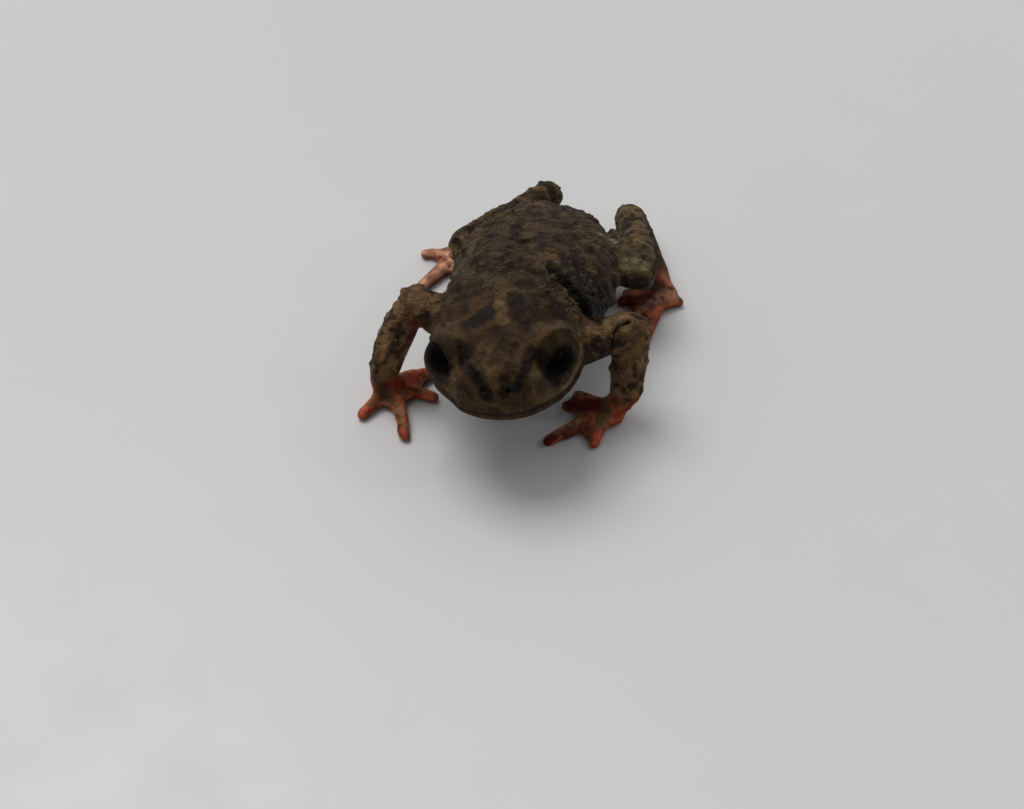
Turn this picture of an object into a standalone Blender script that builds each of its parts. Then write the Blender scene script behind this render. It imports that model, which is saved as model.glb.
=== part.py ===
"""Melanophryniscus biancae, a tiny warty toad, life size, crouched on straight arms with its head raised.

The animal faces -Y with its back to +Z, so its own left side is +X. Sizes are in millimetres here, and each
finished mesh is scaled to metres. The head and body are one smooth loft, parted at the neck. Each limb is a
chain of lofted tubes, parted by planes at its joints, and each hand and foot is one body with its digits.
"""
import math
import random

import bmesh
import bpy
import numpy as np
from mathutils import Matrix, Vector
from mathutils.bvhtree import BVHTree

# Scale and clearances
MM = 0.001
GAP = 0.3
WELD = 0.004

# Head and body: stations are evenly spaced along Y, from the snout to the rump
SNOUT_Y = -8.2
STATION_STEP = 1.6
STATIONS = (
    # half width, middle height, rise to the back, drop to the belly, midline
    (3.25, 4.75, 1.55, 0.60, -0.50),
    (3.30, 4.60, 2.10, 0.75, -0.50),
    (3.34, 4.55, 2.40, 1.00, -0.50),
    (3.20, 4.65, 2.35, 1.75, -0.48),
    (3.25, 4.60, 2.35, 2.30, -0.38),
    (3.48, 4.35, 2.40, 2.50, -0.20),
    (3.60, 3.95, 2.40, 2.45, -0.15),
    (3.45, 3.50, 2.30, 2.10, -0.22),
    (3.00, 3.00, 2.05, 1.60, -0.28),
    (2.55, 2.45, 1.70, 1.25, -0.30),
    (2.30, 1.90, 1.10, 0.90, -0.30),
)
RUMP_Y = SNOUT_Y + STATION_STEP * (len(STATIONS) - 1)
SNOUT_ROUND_WIDTH = 4.2
SNOUT_ROUND_HEIGHT = 1.15
RUMP_ROUND_WIDTH = 2.4
RUMP_ROUND_HEIGHT = 1.9
SECTION_POWER = 2.3
TRUNK_RINGS = 50
TRUNK_SIDES = 44
END_CROWDING = 0.8

# The head turns and rolls a little towards the animal's left from the neck on
NECK = Vector((-0.50, -3.7, 5.0))
NECK_NORMAL = Vector((0.0, -1.0, 0.22)).normalized()
NECK_BEND = 1.6
HEAD_TURN = math.radians(6.0)
HEAD_ROLL = math.radians(3.0)
HEAD_ROLL_Z = 4.8

# Face
EYE_RADIUS = 0.92
EYE = (2.08, -5.75, 5.66)
EYE_FACING = Vector((0.85, -0.50, 0.15)).normalized()
LID_THICKNESS = 0.24
LID_REACH = 0.12
NOSTRIL = (0.52, -7.78, 5.78)
NOSTRIL_RADIUS = 0.17
MOUTH_FRONT_Z = 4.80
MOUTH_CORNER_Z = 4.50
MOUTH_CORNER_Y = -4.6
MOUTH_OPENING = 0.16
MOUTH_DEPTH = 0.25
LIP_RISE = 0.10
LIP_WIDTH = 0.28

# Warts
WART_SEED = 7
WART_RADII = (0.16, 0.34)
WART_HEIGHT = 0.55
WART_SPACING = 0.78
WART_ARC = (-12.0, 192.0)
WART_TRIES = 60
TORSO_WARTS = 52
HEAD_WARTS = 12

# Limbs, animal's left and right: joint centres and thicknesses, measured from the pose
SHOULDER_LEFT = (1.95, -3.40, 4.40)
ELBOW_LEFT = (4.72, -2.05, 4.90)
WRIST_LEFT = (4.50, -2.72, 1.15)
PALM_LEFT = (3.80, -2.90, 0.36)
FOREARM_BOW_LEFT = (0.05, 0.0, 0.0)
SHOULDER_RIGHT = (-2.80, -3.10, 4.50)
ELBOW_RIGHT = (-4.92, -2.20, 4.90)
WRIST_RIGHT = (-6.15, -3.60, 1.15)
PALM_RIGHT = (-5.80, -3.20, 0.36)
FOREARM_BOW_RIGHT = (-0.15, 0.0, 0.0)
UPPER_ARM_RADII = (1.08, 0.88, 0.74)
FOREARM_RADII = (0.72, 0.80, 0.76, 0.62)
WRIST_RADIUS = 0.62

HIP_LEFT = (0.75, 6.30, 1.65)
KNEE_LEFT = (4.22, 3.45, 3.38)
HEEL_LEFT = (3.04, 8.88, 1.50)
ANKLE_LEFT = (5.00, 6.00, 0.62)
BALL_LEFT = (5.15, 5.15, 0.36)
SHANK_BOW_LEFT = (0.0, 0.0, 0.0)
HIP_RIGHT = (-1.35, 6.30, 1.65)
KNEE_RIGHT = (-3.84, 3.42, 3.38)
HEEL_RIGHT = (-1.10, 8.93, 2.20)
ANKLE_RIGHT = (-3.96, 6.70, 0.80)
BALL_RIGHT = (-4.95, 5.85, 0.36)
SHANK_BOW_RIGHT = (-0.04, -0.02, 0.0)
THIGH_RADII = (1.05, 1.15, 0.96)
SHANK_RADII = (0.84, 0.82, 0.74, 0.82)
TARSUS_RADII = (0.80, 0.64, 0.50)

# Digits: tips on the floor as x, y, first to last
FINGERS_LEFT = ((2.45, -2.10), (2.05, -2.75), (1.62, -5.00), (3.62, -4.72))
FINGERS_RIGHT = ((-4.42, -1.98), (-3.90, -3.40), (-4.56, -5.90), (-6.75, -5.05))
FINGER_RADII = (0.40, 0.31, 0.27)
FIRST_FINGER_SCALE = 1.25
TOES_LEFT = ((3.50, 5.05), (3.35, 4.40), (4.00, 3.20), (4.75, 1.45), (6.00, 4.95))
TOES_RIGHT = ((-4.20, 5.85), (-4.35, 5.35), (-4.55, 5.00), (-6.45, 2.80), (-6.45, 5.90))
TOE_RADII = (0.38, 0.30, 0.25)
DIGIT_MIDDLE_Z = 0.34
DIGIT_TIP_Z = 0.24
PALM_SIZE = (0.95, 0.85, 0.45)
SOLE_SIZE = (0.80, 0.95, 0.42)
WEB_SIZE = (0.85, 0.95, 0.24)
WEBBED_TOES = 3

# Colours, roughness
FINISHES = {
    "back_skin": ((0.105, 0.085, 0.052, 1.0), 0.55),
    "limb_skin": ((0.155, 0.115, 0.062, 1.0), 0.50),
    "hand_skin": ((0.420, 0.085, 0.040, 1.0), 0.45),
    "eye_gloss": ((0.010, 0.009, 0.008, 1.0), 0.08),
}


# Small helpers for curves and meshes

def smooth_through(values, t):
    """Read a smooth curve through evenly numbered values at t, from 0 to their count less one."""
    values = np.asarray(values, dtype=float)
    last = len(values) - 1
    i = int(min(max(math.floor(t), 0), last - 1))
    f = t - i
    a = values[max(i - 1, 0)]
    b = values[i]
    c = values[i + 1]
    d = values[min(i + 2, last)]
    return 0.5 * (2 * b + (c - a) * f + (2 * a - 5 * b + 4 * c - d) * f**2 + (3 * b - a - 3 * c + d) * f**3)


def new_object(name, mesh):
    """Put a mesh in the scene as an object of its own."""
    thing = bpy.data.objects.new(name, mesh)
    bpy.context.scene.collection.objects.link(thing)
    return thing


def object_from_bmesh(name, bm):
    """Turn a bmesh into an object, with its faces pointing out."""
    bmesh.ops.recalc_face_normals(bm, faces=bm.faces)
    mesh = bpy.data.meshes.new(name)
    bm.to_mesh(mesh)
    bm.free()
    return new_object(name, mesh)


def loft(name, rings, start, end):
    """Skin rings of equally many points, closed by a point at each end."""
    bm = bmesh.new()
    rows = []
    for ring in rings:
        rows.append([bm.verts.new(point) for point in ring])
    sides = len(rows[0])
    for lower, upper in zip(rows, rows[1:]):
        for i in range(sides):
            j = (i + 1) % sides
            bm.faces.new((lower[i], lower[j], upper[j], upper[i]))
    for row, tip in ((rows[0], bm.verts.new(start)), (rows[-1], bm.verts.new(end))):
        for i in range(sides):
            bm.faces.new((row[i], row[(i + 1) % sides], tip))
    return object_from_bmesh(name, bm)


def tube(name, points, radii, flatness=1.0, up=(0.0, 0.0, 1.0), grow=0.0, sides=14, step=0.45):
    """A smooth limb through points: radii along it, round ends, and its height as a share of its width."""
    last = len(points) - 1
    length = sum((Vector(b) - Vector(a)).length for a, b in zip(points, points[1:]))
    count = max(3, round(length / step))
    rings = []
    centres = [Vector(smooth_through(points, last * k / count)) for k in range(count + 1)]
    thickness = [float(smooth_through(radii, (len(radii) - 1) * k / count)) + grow for k in range(count + 1)]
    tangents = []
    for k in range(count + 1):
        tangents.append((centres[min(k + 1, count)] - centres[max(k - 1, 0)]).normalized())

    def ring(centre, tangent, radius):
        across = tangent.cross(Vector(up)).normalized()
        rise = across.cross(tangent)
        turn = [2 * math.pi * i / sides for i in range(sides)]
        return [centre + across * radius * math.cos(a) + rise * radius * flatness * math.sin(a) for a in turn]

    cap_angles = (65, 38, 15)
    for angle in cap_angles:
        reach = tangents[0] * thickness[0] * math.sin(math.radians(angle))
        rings.append(ring(centres[0] - reach, tangents[0], thickness[0] * math.cos(math.radians(angle))))
    for k in range(count + 1):
        rings.append(ring(centres[k], tangents[k], thickness[k]))
    for angle in reversed(cap_angles):
        reach = tangents[-1] * thickness[-1] * math.sin(math.radians(angle))
        rings.append(ring(centres[-1] + reach, tangents[-1], thickness[-1] * math.cos(math.radians(angle))))
    start = centres[0] - tangents[0] * thickness[0]
    end = centres[-1] + tangents[-1] * thickness[-1]
    return loft(name, rings, start, end)


def ball(name, centre, size, turn=0.0, segments=20, rings=12):
    """An ellipsoid of three half sizes, turned about the vertical."""
    bm = bmesh.new()
    bmesh.ops.create_uvsphere(bm, u_segments=segments, v_segments=rings, radius=1.0)
    place = Matrix.Translation(centre) @ Matrix.Rotation(turn, 4, "Z") @ Matrix.Diagonal((*size, 1.0))
    bmesh.ops.transform(bm, matrix=place, verts=bm.verts)
    return object_from_bmesh(name, bm)


def slab(name, centre, size, tilt=0.0):
    """A box of three full sizes, tilted about X."""
    bm = bmesh.new()
    bmesh.ops.create_cube(bm, size=1.0)
    place = Matrix.Translation(centre) @ Matrix.Rotation(tilt, 4, "X") @ Matrix.Diagonal((*size, 1.0))
    bmesh.ops.transform(bm, matrix=place, verts=bm.verts)
    return object_from_bmesh(name, bm)


def remove(thing):
    """Take an object and its mesh out of the file."""
    mesh = thing.data
    bpy.data.objects.remove(thing)
    bpy.data.meshes.remove(mesh)


def combine(target, operation, tools, solver="EXACT"):
    """Apply one Boolean between a target and all the tools, and remove the tools."""
    pool = bpy.data.collections.new("pool")
    bpy.context.scene.collection.children.link(pool)
    for tool in tools:
        bpy.context.scene.collection.objects.unlink(tool)
        pool.objects.link(tool)
    modifier = target.modifiers.new("join", "BOOLEAN")
    modifier.operation = operation
    modifier.operand_type = "COLLECTION"
    modifier.collection = pool
    modifier.solver = solver
    bpy.context.view_layer.update()
    evaluated = target.evaluated_get(bpy.context.evaluated_depsgraph_get())
    result = bpy.data.meshes.new_from_object(evaluated)
    target.modifiers.remove(modifier)
    before = target.data
    target.data = result
    bpy.data.meshes.remove(before)
    for tool in tools:
        remove(tool)
    bpy.data.collections.remove(pool)
    return target


def keep_side(thing, point, normal):
    """Cut a closed body by a plane, keep what lies behind the normal, and close the cut."""
    bm = bmesh.new()
    bm.from_mesh(thing.data)
    every = bm.verts[:] + bm.edges[:] + bm.faces[:]
    bmesh.ops.bisect_plane(bm, geom=every, dist=WELD, plane_co=point, plane_no=normal, clear_outer=True)
    rim = [edge for edge in bm.edges if edge.is_boundary]
    bmesh.ops.holes_fill(bm, edges=rim, sides=0)
    bm.to_mesh(thing.data)
    bm.free()
    return thing


def part_at(joint, towards_first, towards_second):
    """The parting plane of two limb pieces that meet at a joint: its normal points into the second."""
    first = (Vector(towards_first) - Vector(joint)).normalized()
    second = (Vector(towards_second) - Vector(joint)).normalized()
    return (second - first).normalized()


def keep_largest(thing):
    """Drop loose scraps and sealed hollows, and weld what is closer than the weld distance."""
    bm = bmesh.new()
    bm.from_mesh(thing.data)
    bmesh.ops.triangulate(bm, faces=bm.faces)
    bmesh.ops.remove_doubles(bm, verts=bm.verts, dist=WELD)
    bmesh.ops.dissolve_degenerate(bm, edges=bm.edges, dist=WELD)
    bmesh.ops.triangulate(bm, faces=bm.faces)
    groups = []
    seen = set()
    for face in bm.faces:
        if face in seen:
            continue
        group = []
        queue = [face]
        seen.add(face)
        while queue:
            current = queue.pop()
            group.append(current)
            for edge in current.edges:
                for neighbour in edge.link_faces:
                    if neighbour not in seen:
                        seen.add(neighbour)
                        queue.append(neighbour)
        groups.append(group)
    groups.sort(key=lambda group: sum(face.calc_area() for face in group))
    loose = [face for group in groups[:-1] for face in group]
    bmesh.ops.delete(bm, geom=loose, context="FACES")
    bm.to_mesh(thing.data)
    bm.free()
    return thing


def level(thing):
    """Bring what was cut at the floor to exactly the floor's height."""
    for vert in thing.data.vertices:
        if abs(vert.co.z) < 3 * WELD:
            vert.co.z = 0.0
    return thing


# Head and body

def rounding(distance, length):
    """How far an end has opened at a distance from its tip: a quarter ellipse, then full size."""
    share = min(max(distance / length, 0.0), 1.0)
    return math.sqrt(1.0 - (1.0 - share) ** 2)


def trunk_section(y):
    """Half width, middle height, rise, drop and midline of the head and body at a place along Y."""
    width, middle, rise, drop, midline = smooth_through(STATIONS, (y - SNOUT_Y) / STATION_STEP)
    open_width = rounding(y - SNOUT_Y, SNOUT_ROUND_WIDTH) * rounding(RUMP_Y - y, RUMP_ROUND_WIDTH)
    open_height = rounding(y - SNOUT_Y, SNOUT_ROUND_HEIGHT) * rounding(RUMP_Y - y, RUMP_ROUND_HEIGHT)
    return width * open_width, middle, rise * open_height, drop * open_height, midline


def pose_head(point):
    """Carry a point of a straight animal to the turned and rolled head: nothing behind the neck moves."""
    share = min(max((NECK.y + NECK_BEND / 2 - point.y) / NECK_BEND, 0.0), 1.0)
    share = share * share * (3.0 - 2.0 * share)
    turn = Matrix.Rotation(HEAD_TURN * share, 3, "Z")
    roll = Matrix.Rotation(-HEAD_ROLL * share, 3, "Y")
    hinge = Vector((NECK.x, NECK.y, HEAD_ROLL_Z))
    return hinge + turn @ roll @ (point - hinge)


def pose_head_object(thing):
    """Carry every point of a face piece to the turned and rolled head."""
    for vert in thing.data.vertices:
        vert.co = pose_head(vert.co)
    return thing


def trunk_point(y, angle, grow=0.0):
    """A point of the head and body's skin: angle 0 is the left flank and a quarter turn the back."""
    width, middle, rise, drop, midline = trunk_section(y)
    height = rise if math.sin(angle) > 0 else drop
    across = math.copysign(abs(math.cos(angle)) ** (2 / SECTION_POWER), math.cos(angle))
    up = math.copysign(abs(math.sin(angle)) ** (2 / SECTION_POWER), math.sin(angle))
    return pose_head(Vector((midline + across * (width + grow), y, middle + up * (height + grow))))


def trunk(name, grow=0.0):
    """The whole head and body in one closed loft, grown all round by a clearance."""
    rings = []
    length = RUMP_Y - SNOUT_Y
    for k in range(1, TRUNK_RINGS):
        u = k / TRUNK_RINGS
        y = SNOUT_Y + length * (u - END_CROWDING * math.sin(2 * math.pi * u) / (2 * math.pi))
        rings.append([trunk_point(y, 2 * math.pi * i / TRUNK_SIDES, grow) for i in range(TRUNK_SIDES)])
    start = pose_head(Vector((STATIONS[0][-1], SNOUT_Y - grow, STATIONS[0][1])))
    end = (STATIONS[-1][-1], RUMP_Y + grow, STATIONS[-1][1])
    return loft(name, rings, start, end)


def face_point(side, place):
    """A place on the face: side is +1 for the animal's left and -1 for its right."""
    return pose_head(Vector((NECK.x + side * place[0], place[1], place[2])))


def mouth_height(y):
    """Height of the line of the mouth at a place along Y."""
    share = (y - SNOUT_Y) / (MOUTH_CORNER_Y - SNOUT_Y)
    return MOUTH_FRONT_Z + share * (MOUTH_CORNER_Z - MOUTH_FRONT_Z)


def raise_lips(thing):
    """Swell the lips along the line of the mouth on the straight head."""
    bm = bmesh.new()
    bm.from_mesh(thing.data)
    bm.normal_update()
    for vert in bm.verts:
        if vert.co.y < MOUTH_CORNER_Y + LIP_WIDTH:
            below = (vert.co.z - mouth_height(vert.co.y)) / LIP_WIDTH
            vert.co += vert.normal * LIP_RISE * math.exp(-(below**2))
    bm.to_mesh(thing.data)
    bm.free()


def mouth_cutter():
    """A thin tilted slab without its core, so that it cuts a groove of even depth along the jaws."""
    run = MOUTH_CORNER_Y - SNOUT_Y
    drop = MOUTH_CORNER_Z - MOUTH_FRONT_Z
    spare = 1.0
    centre = (NECK.x, MOUTH_CORNER_Y - (run + spare) / 2, mouth_height(MOUTH_CORNER_Y - (run + spare) / 2))
    plate = slab("mouth", centre, (9.0, run + spare, MOUTH_OPENING), tilt=math.atan2(drop, run))
    pose_head_object(plate)
    return combine(plate, "DIFFERENCE", [trunk("core", grow=-MOUTH_DEPTH)])


def make_lids(side):
    """The lids round one eye: a dome a little larger than its socket, open where the eyeball stands out."""
    centre = face_point(side, EYE)
    size = EYE_RADIUS + GAP + LID_THICKNESS
    facing = Vector((side * EYE_FACING.x, EYE_FACING.y, EYE_FACING.z))
    lids = ball("lids", centre, (size, size, size), segments=24, rings=14)
    return keep_side(lids, centre + facing * LID_REACH, facing)


def make_socket(side):
    """The hollow that an eyeball sits in."""
    room = EYE_RADIUS + GAP
    return ball("socket", face_point(side, EYE), (room, room, room), segments=24, rings=14)


def warts(rng, surface, count, y_from, y_to, clear):
    """Low domes sunk in the skin and set square to it, no two closer than their spacing."""
    tree = BVHTree.FromObject(surface, bpy.context.evaluated_depsgraph_get())
    domes = []
    taken = []
    for _ in range(WART_TRIES * count):
        place = trunk_point(rng.uniform(y_from, y_to), math.radians(rng.uniform(*WART_ARC)))
        spot, normal, _, _ = tree.find_nearest(place)
        crowded = any((spot - other).length < WART_SPACING for other in taken)
        if crowded or not clear(spot):
            continue
        if len(taken) == count:
            break
        taken.append(spot)
        radius = rng.uniform(*WART_RADII)
        bm = bmesh.new()
        bmesh.ops.create_icosphere(bm, subdivisions=1, radius=radius)
        spin = Matrix.Rotation(rng.uniform(0, math.pi), 4, "Z")
        stretch = Matrix.Diagonal((rng.uniform(0.85, 1.15), 1.0, WART_HEIGHT, 1.0))
        turn = normal.to_track_quat("Z", "Y").to_matrix().to_4x4()
        bmesh.ops.transform(bm, matrix=Matrix.Translation(spot) @ turn @ stretch @ spin, verts=bm.verts)
        domes.append(object_from_bmesh("wart", bm))
    return domes


def clear_of_face(spot):
    """True where a wart may grow on the head: off the eyes, the nostrils and the mouth."""
    lid = EYE_RADIUS + GAP + LID_THICKNESS
    off_eyes = all((spot - face_point(side, EYE)).length > lid + 0.45 for side in (1, -1))
    off_mouth = spot.z > mouth_height(spot.y) + 0.6
    off_nostrils = spot.y > NOSTRIL[1] + 0.6
    on_head = (spot - NECK).dot(NECK_NORMAL) > 0.55
    return off_eyes and off_mouth and off_nostrils and on_head


def clear_of_neck(spot):
    """True where a wart may grow on the torso: off the parting at the neck and off the limbs' roots."""
    off_neck = (spot - NECK).dot(NECK_NORMAL) < -0.55
    roots = (SHOULDER_LEFT, SHOULDER_RIGHT, HIP_LEFT, HIP_RIGHT)
    elbows = (ELBOW_LEFT, ELBOW_RIGHT, KNEE_LEFT, KNEE_RIGHT)
    off_limbs = True
    for root, bend in zip(roots, elbows):
        line = Vector(bend) - Vector(root)
        share = min(max((spot - Vector(root)).dot(line) / line.length_squared, 0.0), 1.0)
        off_limbs = off_limbs and (spot - Vector(root) - line * share).length > 1.95
    return off_neck and off_limbs


def make_head(rng):
    head = trunk("head")
    raise_lips(head)
    domes = warts(rng, head, HEAD_WARTS, -7.2, -3.6, clear_of_face)
    domes += [make_lids(side) for side in (1, -1)]
    combine(head, "UNION", domes)
    cuts = [mouth_cutter()]
    for side in (1, -1):
        cuts.append(make_socket(side))
        cuts.append(ball("nostril", face_point(side, NOSTRIL), (NOSTRIL_RADIUS,) * 3, segments=8, rings=6))
    for cut in cuts:
        combine(head, "DIFFERENCE", [cut])
    keep_side(head, NECK + NECK_NORMAL * GAP / 2, -NECK_NORMAL)
    return keep_largest(head)


def make_torso(rng):
    torso = trunk("torso")
    domes = warts(rng, torso, TORSO_WARTS, -3.2, 7.2, clear_of_neck)
    combine(torso, "UNION", domes)
    keep_side(torso, NECK - NECK_NORMAL * GAP / 2, NECK_NORMAL)
    return keep_largest(torso)


def make_eye(name, side):
    return ball(name, face_point(side, EYE), (EYE_RADIUS,) * 3, segments=18, rings=10)


# Limbs

def limb_piece(name, points, radii, cuts, clear_of_trunk=False, up=(0.0, 0.0, 1.0)):
    """One length of a limb, trimmed by planes at its joints and cut clear of the body at its root."""
    piece = tube(name, points, radii, up=up)
    for point, normal in cuts:
        keep_side(piece, Vector(point) - normal * GAP / 2, normal)
    if clear_of_trunk:
        combine(piece, "DIFFERENCE", [trunk("clearance", grow=GAP)])
    return keep_largest(piece)


def between(a, b, share):
    """A point on the straight line from a to b."""
    return Vector(a).lerp(Vector(b), share)


def bowed(start, end, bow, shares=(0.35, 0.7)):
    """Points from one joint to the next, pushed aside in the middle by a bow."""
    middle = [between(start, end, share) + Vector(bow) for share in shares]
    return [Vector(start), *middle, Vector(end)]


def make_arm(side_name, shoulder, elbow, wrist, palm, bow, fingers):
    elbow_normal = part_at(elbow, shoulder, wrist)
    wrist_normal = part_at(wrist, elbow, palm)
    upper = limb_piece(f"upper_arm_{side_name}", (shoulder, between(shoulder, elbow, 0.5), elbow),
                       UPPER_ARM_RADII, [(elbow, elbow_normal)], clear_of_trunk=True)
    forearm = limb_piece(f"forearm_{side_name}", bowed(elbow, wrist, bow), FOREARM_RADII,
                         [(elbow, -elbow_normal), (wrist, wrist_normal)], up=(0.0, 1.0, 0.0))
    hand = make_hand(f"hand_{side_name}", wrist, wrist_normal, palm, fingers)
    return [upper, forearm, hand]


def digit(base, tip, radii, scale=1.0):
    """A finger or toe: it arches a little from its base to a tip that lies on the floor."""
    middle = between(base, (*tip, DIGIT_TIP_Z), 0.55)
    middle.z = DIGIT_MIDDLE_Z
    return tube("digit", (base, middle, (*tip, DIGIT_TIP_Z)), [r * scale for r in radii], sides=9, step=0.6)


def make_hand(name, wrist, wrist_normal, palm, fingers):
    hand = ball(name, palm, PALM_SIZE, segments=14, rings=8)
    stem = tube("stem", (Vector(wrist) + (Vector(wrist) - Vector(palm)) * 0.8, wrist, palm),
                (WRIST_RADIUS, WRIST_RADIUS, WRIST_RADIUS * 0.8), up=(0.0, 1.0, 0.0))
    pieces = [stem]
    for tip in fingers:
        base = between(palm, (*tip, palm[2]), 0.22)
        pieces.append(digit(base, tip, FINGER_RADII, FIRST_FINGER_SCALE if tip == fingers[0] else 1.0))
    combine(hand, "UNION", pieces)
    keep_side(hand, (0.0, 0.0, 0.0), Vector((0.0, 0.0, -1.0)))
    keep_side(hand, Vector(wrist) + wrist_normal * GAP / 2, -wrist_normal)
    return level(keep_largest(hand))


def make_foot(name, heel, ankle, ankle_normal, sole, toes):
    turn = math.atan2(sole[1] - ankle[1], sole[0] - ankle[0]) - math.pi / 2
    foot = ball(name, sole, SOLE_SIZE, turn=turn, segments=14, rings=8)
    stem = tube("stem", (between(ankle, heel, 0.25), ankle, sole),
                (TARSUS_RADII[-1], TARSUS_RADII[-1], 0.42))
    inner = sum((Vector((*tip, WEB_SIZE[2])) for tip in toes[:WEBBED_TOES]), Vector()) / WEBBED_TOES
    pieces = [stem, ball("web", between(sole, inner, 0.5), WEB_SIZE, turn=turn, segments=12, rings=6)]
    for tip in toes:
        base = between(sole, (*tip, sole[2]), 0.15)
        pieces.append(digit(base, tip, TOE_RADII))
    combine(foot, "UNION", pieces)
    keep_side(foot, (0.0, 0.0, 0.0), Vector((0.0, 0.0, -1.0)))
    keep_side(foot, Vector(ankle) + ankle_normal * GAP / 2, -ankle_normal)
    return level(keep_largest(foot))


def make_leg(side_name, hip, knee, heel, ankle, sole, bow, toes):
    knee_normal = part_at(knee, hip, heel)
    heel_normal = part_at(heel, knee, ankle)
    ankle_normal = part_at(ankle, heel, sole)
    thigh = limb_piece(f"thigh_{side_name}", (hip, between(hip, knee, 0.5), knee), THIGH_RADII,
                       [(knee, knee_normal)], clear_of_trunk=True)
    shank = limb_piece(f"shank_{side_name}", bowed(knee, heel, bow), SHANK_RADII,
                       [(knee, -knee_normal), (heel, heel_normal)], clear_of_trunk=True)
    tarsus = limb_piece(f"tarsus_{side_name}", (heel, between(heel, ankle, 0.5), ankle), TARSUS_RADII,
                        [(heel, -heel_normal), (ankle, ankle_normal)])
    foot = make_foot(f"foot_{side_name}", heel, ankle, ankle_normal, sole, toes)
    return [thigh, shank, tarsus, foot]


# Finish and placing

def material(name):
    """The plain colour of one kind of skin, or of the eyes."""
    colour, roughness = FINISHES[name]
    finish = bpy.data.materials.new(name)
    finish.use_nodes = True
    shader = finish.node_tree.nodes["Principled BSDF"]
    shader.inputs["Base Color"].default_value = colour
    shader.inputs["Roughness"].default_value = roughness
    shader.inputs["Metallic"].default_value = 0.0
    finish.diffuse_color = colour
    return finish


def dress(nodes):
    """Give each node its own copy of its kind of finish."""
    for node in nodes:
        kind = "limb_skin"
        if node.name in ("head", "torso"):
            kind = "back_skin"
        if node.name.startswith(("hand", "foot")):
            kind = "hand_skin"
        if node.name.startswith("eye"):
            kind = "eye_gloss"
        finish = material(kind)
        finish.name = f"{node.name}_{kind}"
        node.data.materials.clear()
        node.data.materials.append(finish)
        node.data.shade_smooth()


def settle(nodes):
    """Scale to metres, and put the middle of the whole animal's footprint at the origin."""
    corners = [vert.co for node in nodes for vert in node.data.vertices]
    middle_x = (min(c.x for c in corners) + max(c.x for c in corners)) / 2
    middle_y = (min(c.y for c in corners) + max(c.y for c in corners)) / 2
    place = Matrix.Scale(MM, 4) @ Matrix.Translation((-middle_x, -middle_y, 0.0))
    for node in nodes:
        node.data.transform(place)


def main():
    for thing in list(bpy.data.objects):
        bpy.data.objects.remove(thing)
    rng = random.Random(WART_SEED)
    nodes = [make_head(rng), make_torso(rng), make_eye("eye_left", 1), make_eye("eye_right", -1)]
    nodes += make_arm("left", SHOULDER_LEFT, ELBOW_LEFT, WRIST_LEFT, PALM_LEFT, FOREARM_BOW_LEFT,
                      FINGERS_LEFT)
    nodes += make_arm("right", SHOULDER_RIGHT, ELBOW_RIGHT, WRIST_RIGHT, PALM_RIGHT, FOREARM_BOW_RIGHT,
                      FINGERS_RIGHT)
    nodes += make_leg("left", HIP_LEFT, KNEE_LEFT, HEEL_LEFT, ANKLE_LEFT, BALL_LEFT, SHANK_BOW_LEFT,
                      TOES_LEFT)
    nodes += make_leg("right", HIP_RIGHT, KNEE_RIGHT, HEEL_RIGHT, ANKLE_RIGHT, BALL_RIGHT, SHANK_BOW_RIGHT,
                      TOES_RIGHT)
    settle(nodes)
    dress(nodes)
    toad = bpy.data.collections.new("melanophryniscus_biancae")
    bpy.context.scene.collection.children.link(toad)
    for node in nodes:
        bpy.context.scene.collection.objects.unlink(node)
        toad.objects.link(node)


main()
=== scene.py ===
"""Looks of a tiny warty toad, life size: one skin over head, body and limbs, wet eyes, and horny grains.

The skin is grown from the solids, so it lies where they do. It is shaped in millimetres and scaled to metres
at the end. Creases and markings are strokes of a few pixels each, cast from the camera onto the skin; some
strokes are painted shade in hollows and creases, and a few are painted highlights.
"""

import math

import bmesh
import bpy
import numpy as np
from mathutils import Matrix, Vector, noise
from mathutils.bvhtree import BVHTree
from mathutils.kdtree import KDTree


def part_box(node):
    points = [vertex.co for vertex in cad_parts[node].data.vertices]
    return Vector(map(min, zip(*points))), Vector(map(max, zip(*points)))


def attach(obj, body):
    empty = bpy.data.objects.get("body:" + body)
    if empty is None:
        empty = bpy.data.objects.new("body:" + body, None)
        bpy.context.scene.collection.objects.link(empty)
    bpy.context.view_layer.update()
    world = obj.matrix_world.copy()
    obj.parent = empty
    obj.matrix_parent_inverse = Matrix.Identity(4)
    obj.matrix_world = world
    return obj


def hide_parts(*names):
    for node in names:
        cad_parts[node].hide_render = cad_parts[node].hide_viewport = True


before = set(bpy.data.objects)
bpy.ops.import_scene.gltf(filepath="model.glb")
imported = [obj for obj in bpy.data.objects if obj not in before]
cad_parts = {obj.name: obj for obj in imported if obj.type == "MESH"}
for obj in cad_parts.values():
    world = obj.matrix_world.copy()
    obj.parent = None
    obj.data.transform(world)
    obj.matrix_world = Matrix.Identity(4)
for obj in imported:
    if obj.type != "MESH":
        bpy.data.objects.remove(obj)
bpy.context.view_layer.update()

MM = 0.001
FRAME_WIDTH = 1024
FRAME_HEIGHT = 809


def middle_of(node):
    """The middle of a node's box, in millimetres."""
    low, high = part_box(node)
    return (low + high) / 2 / MM


# Places of the face

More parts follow.
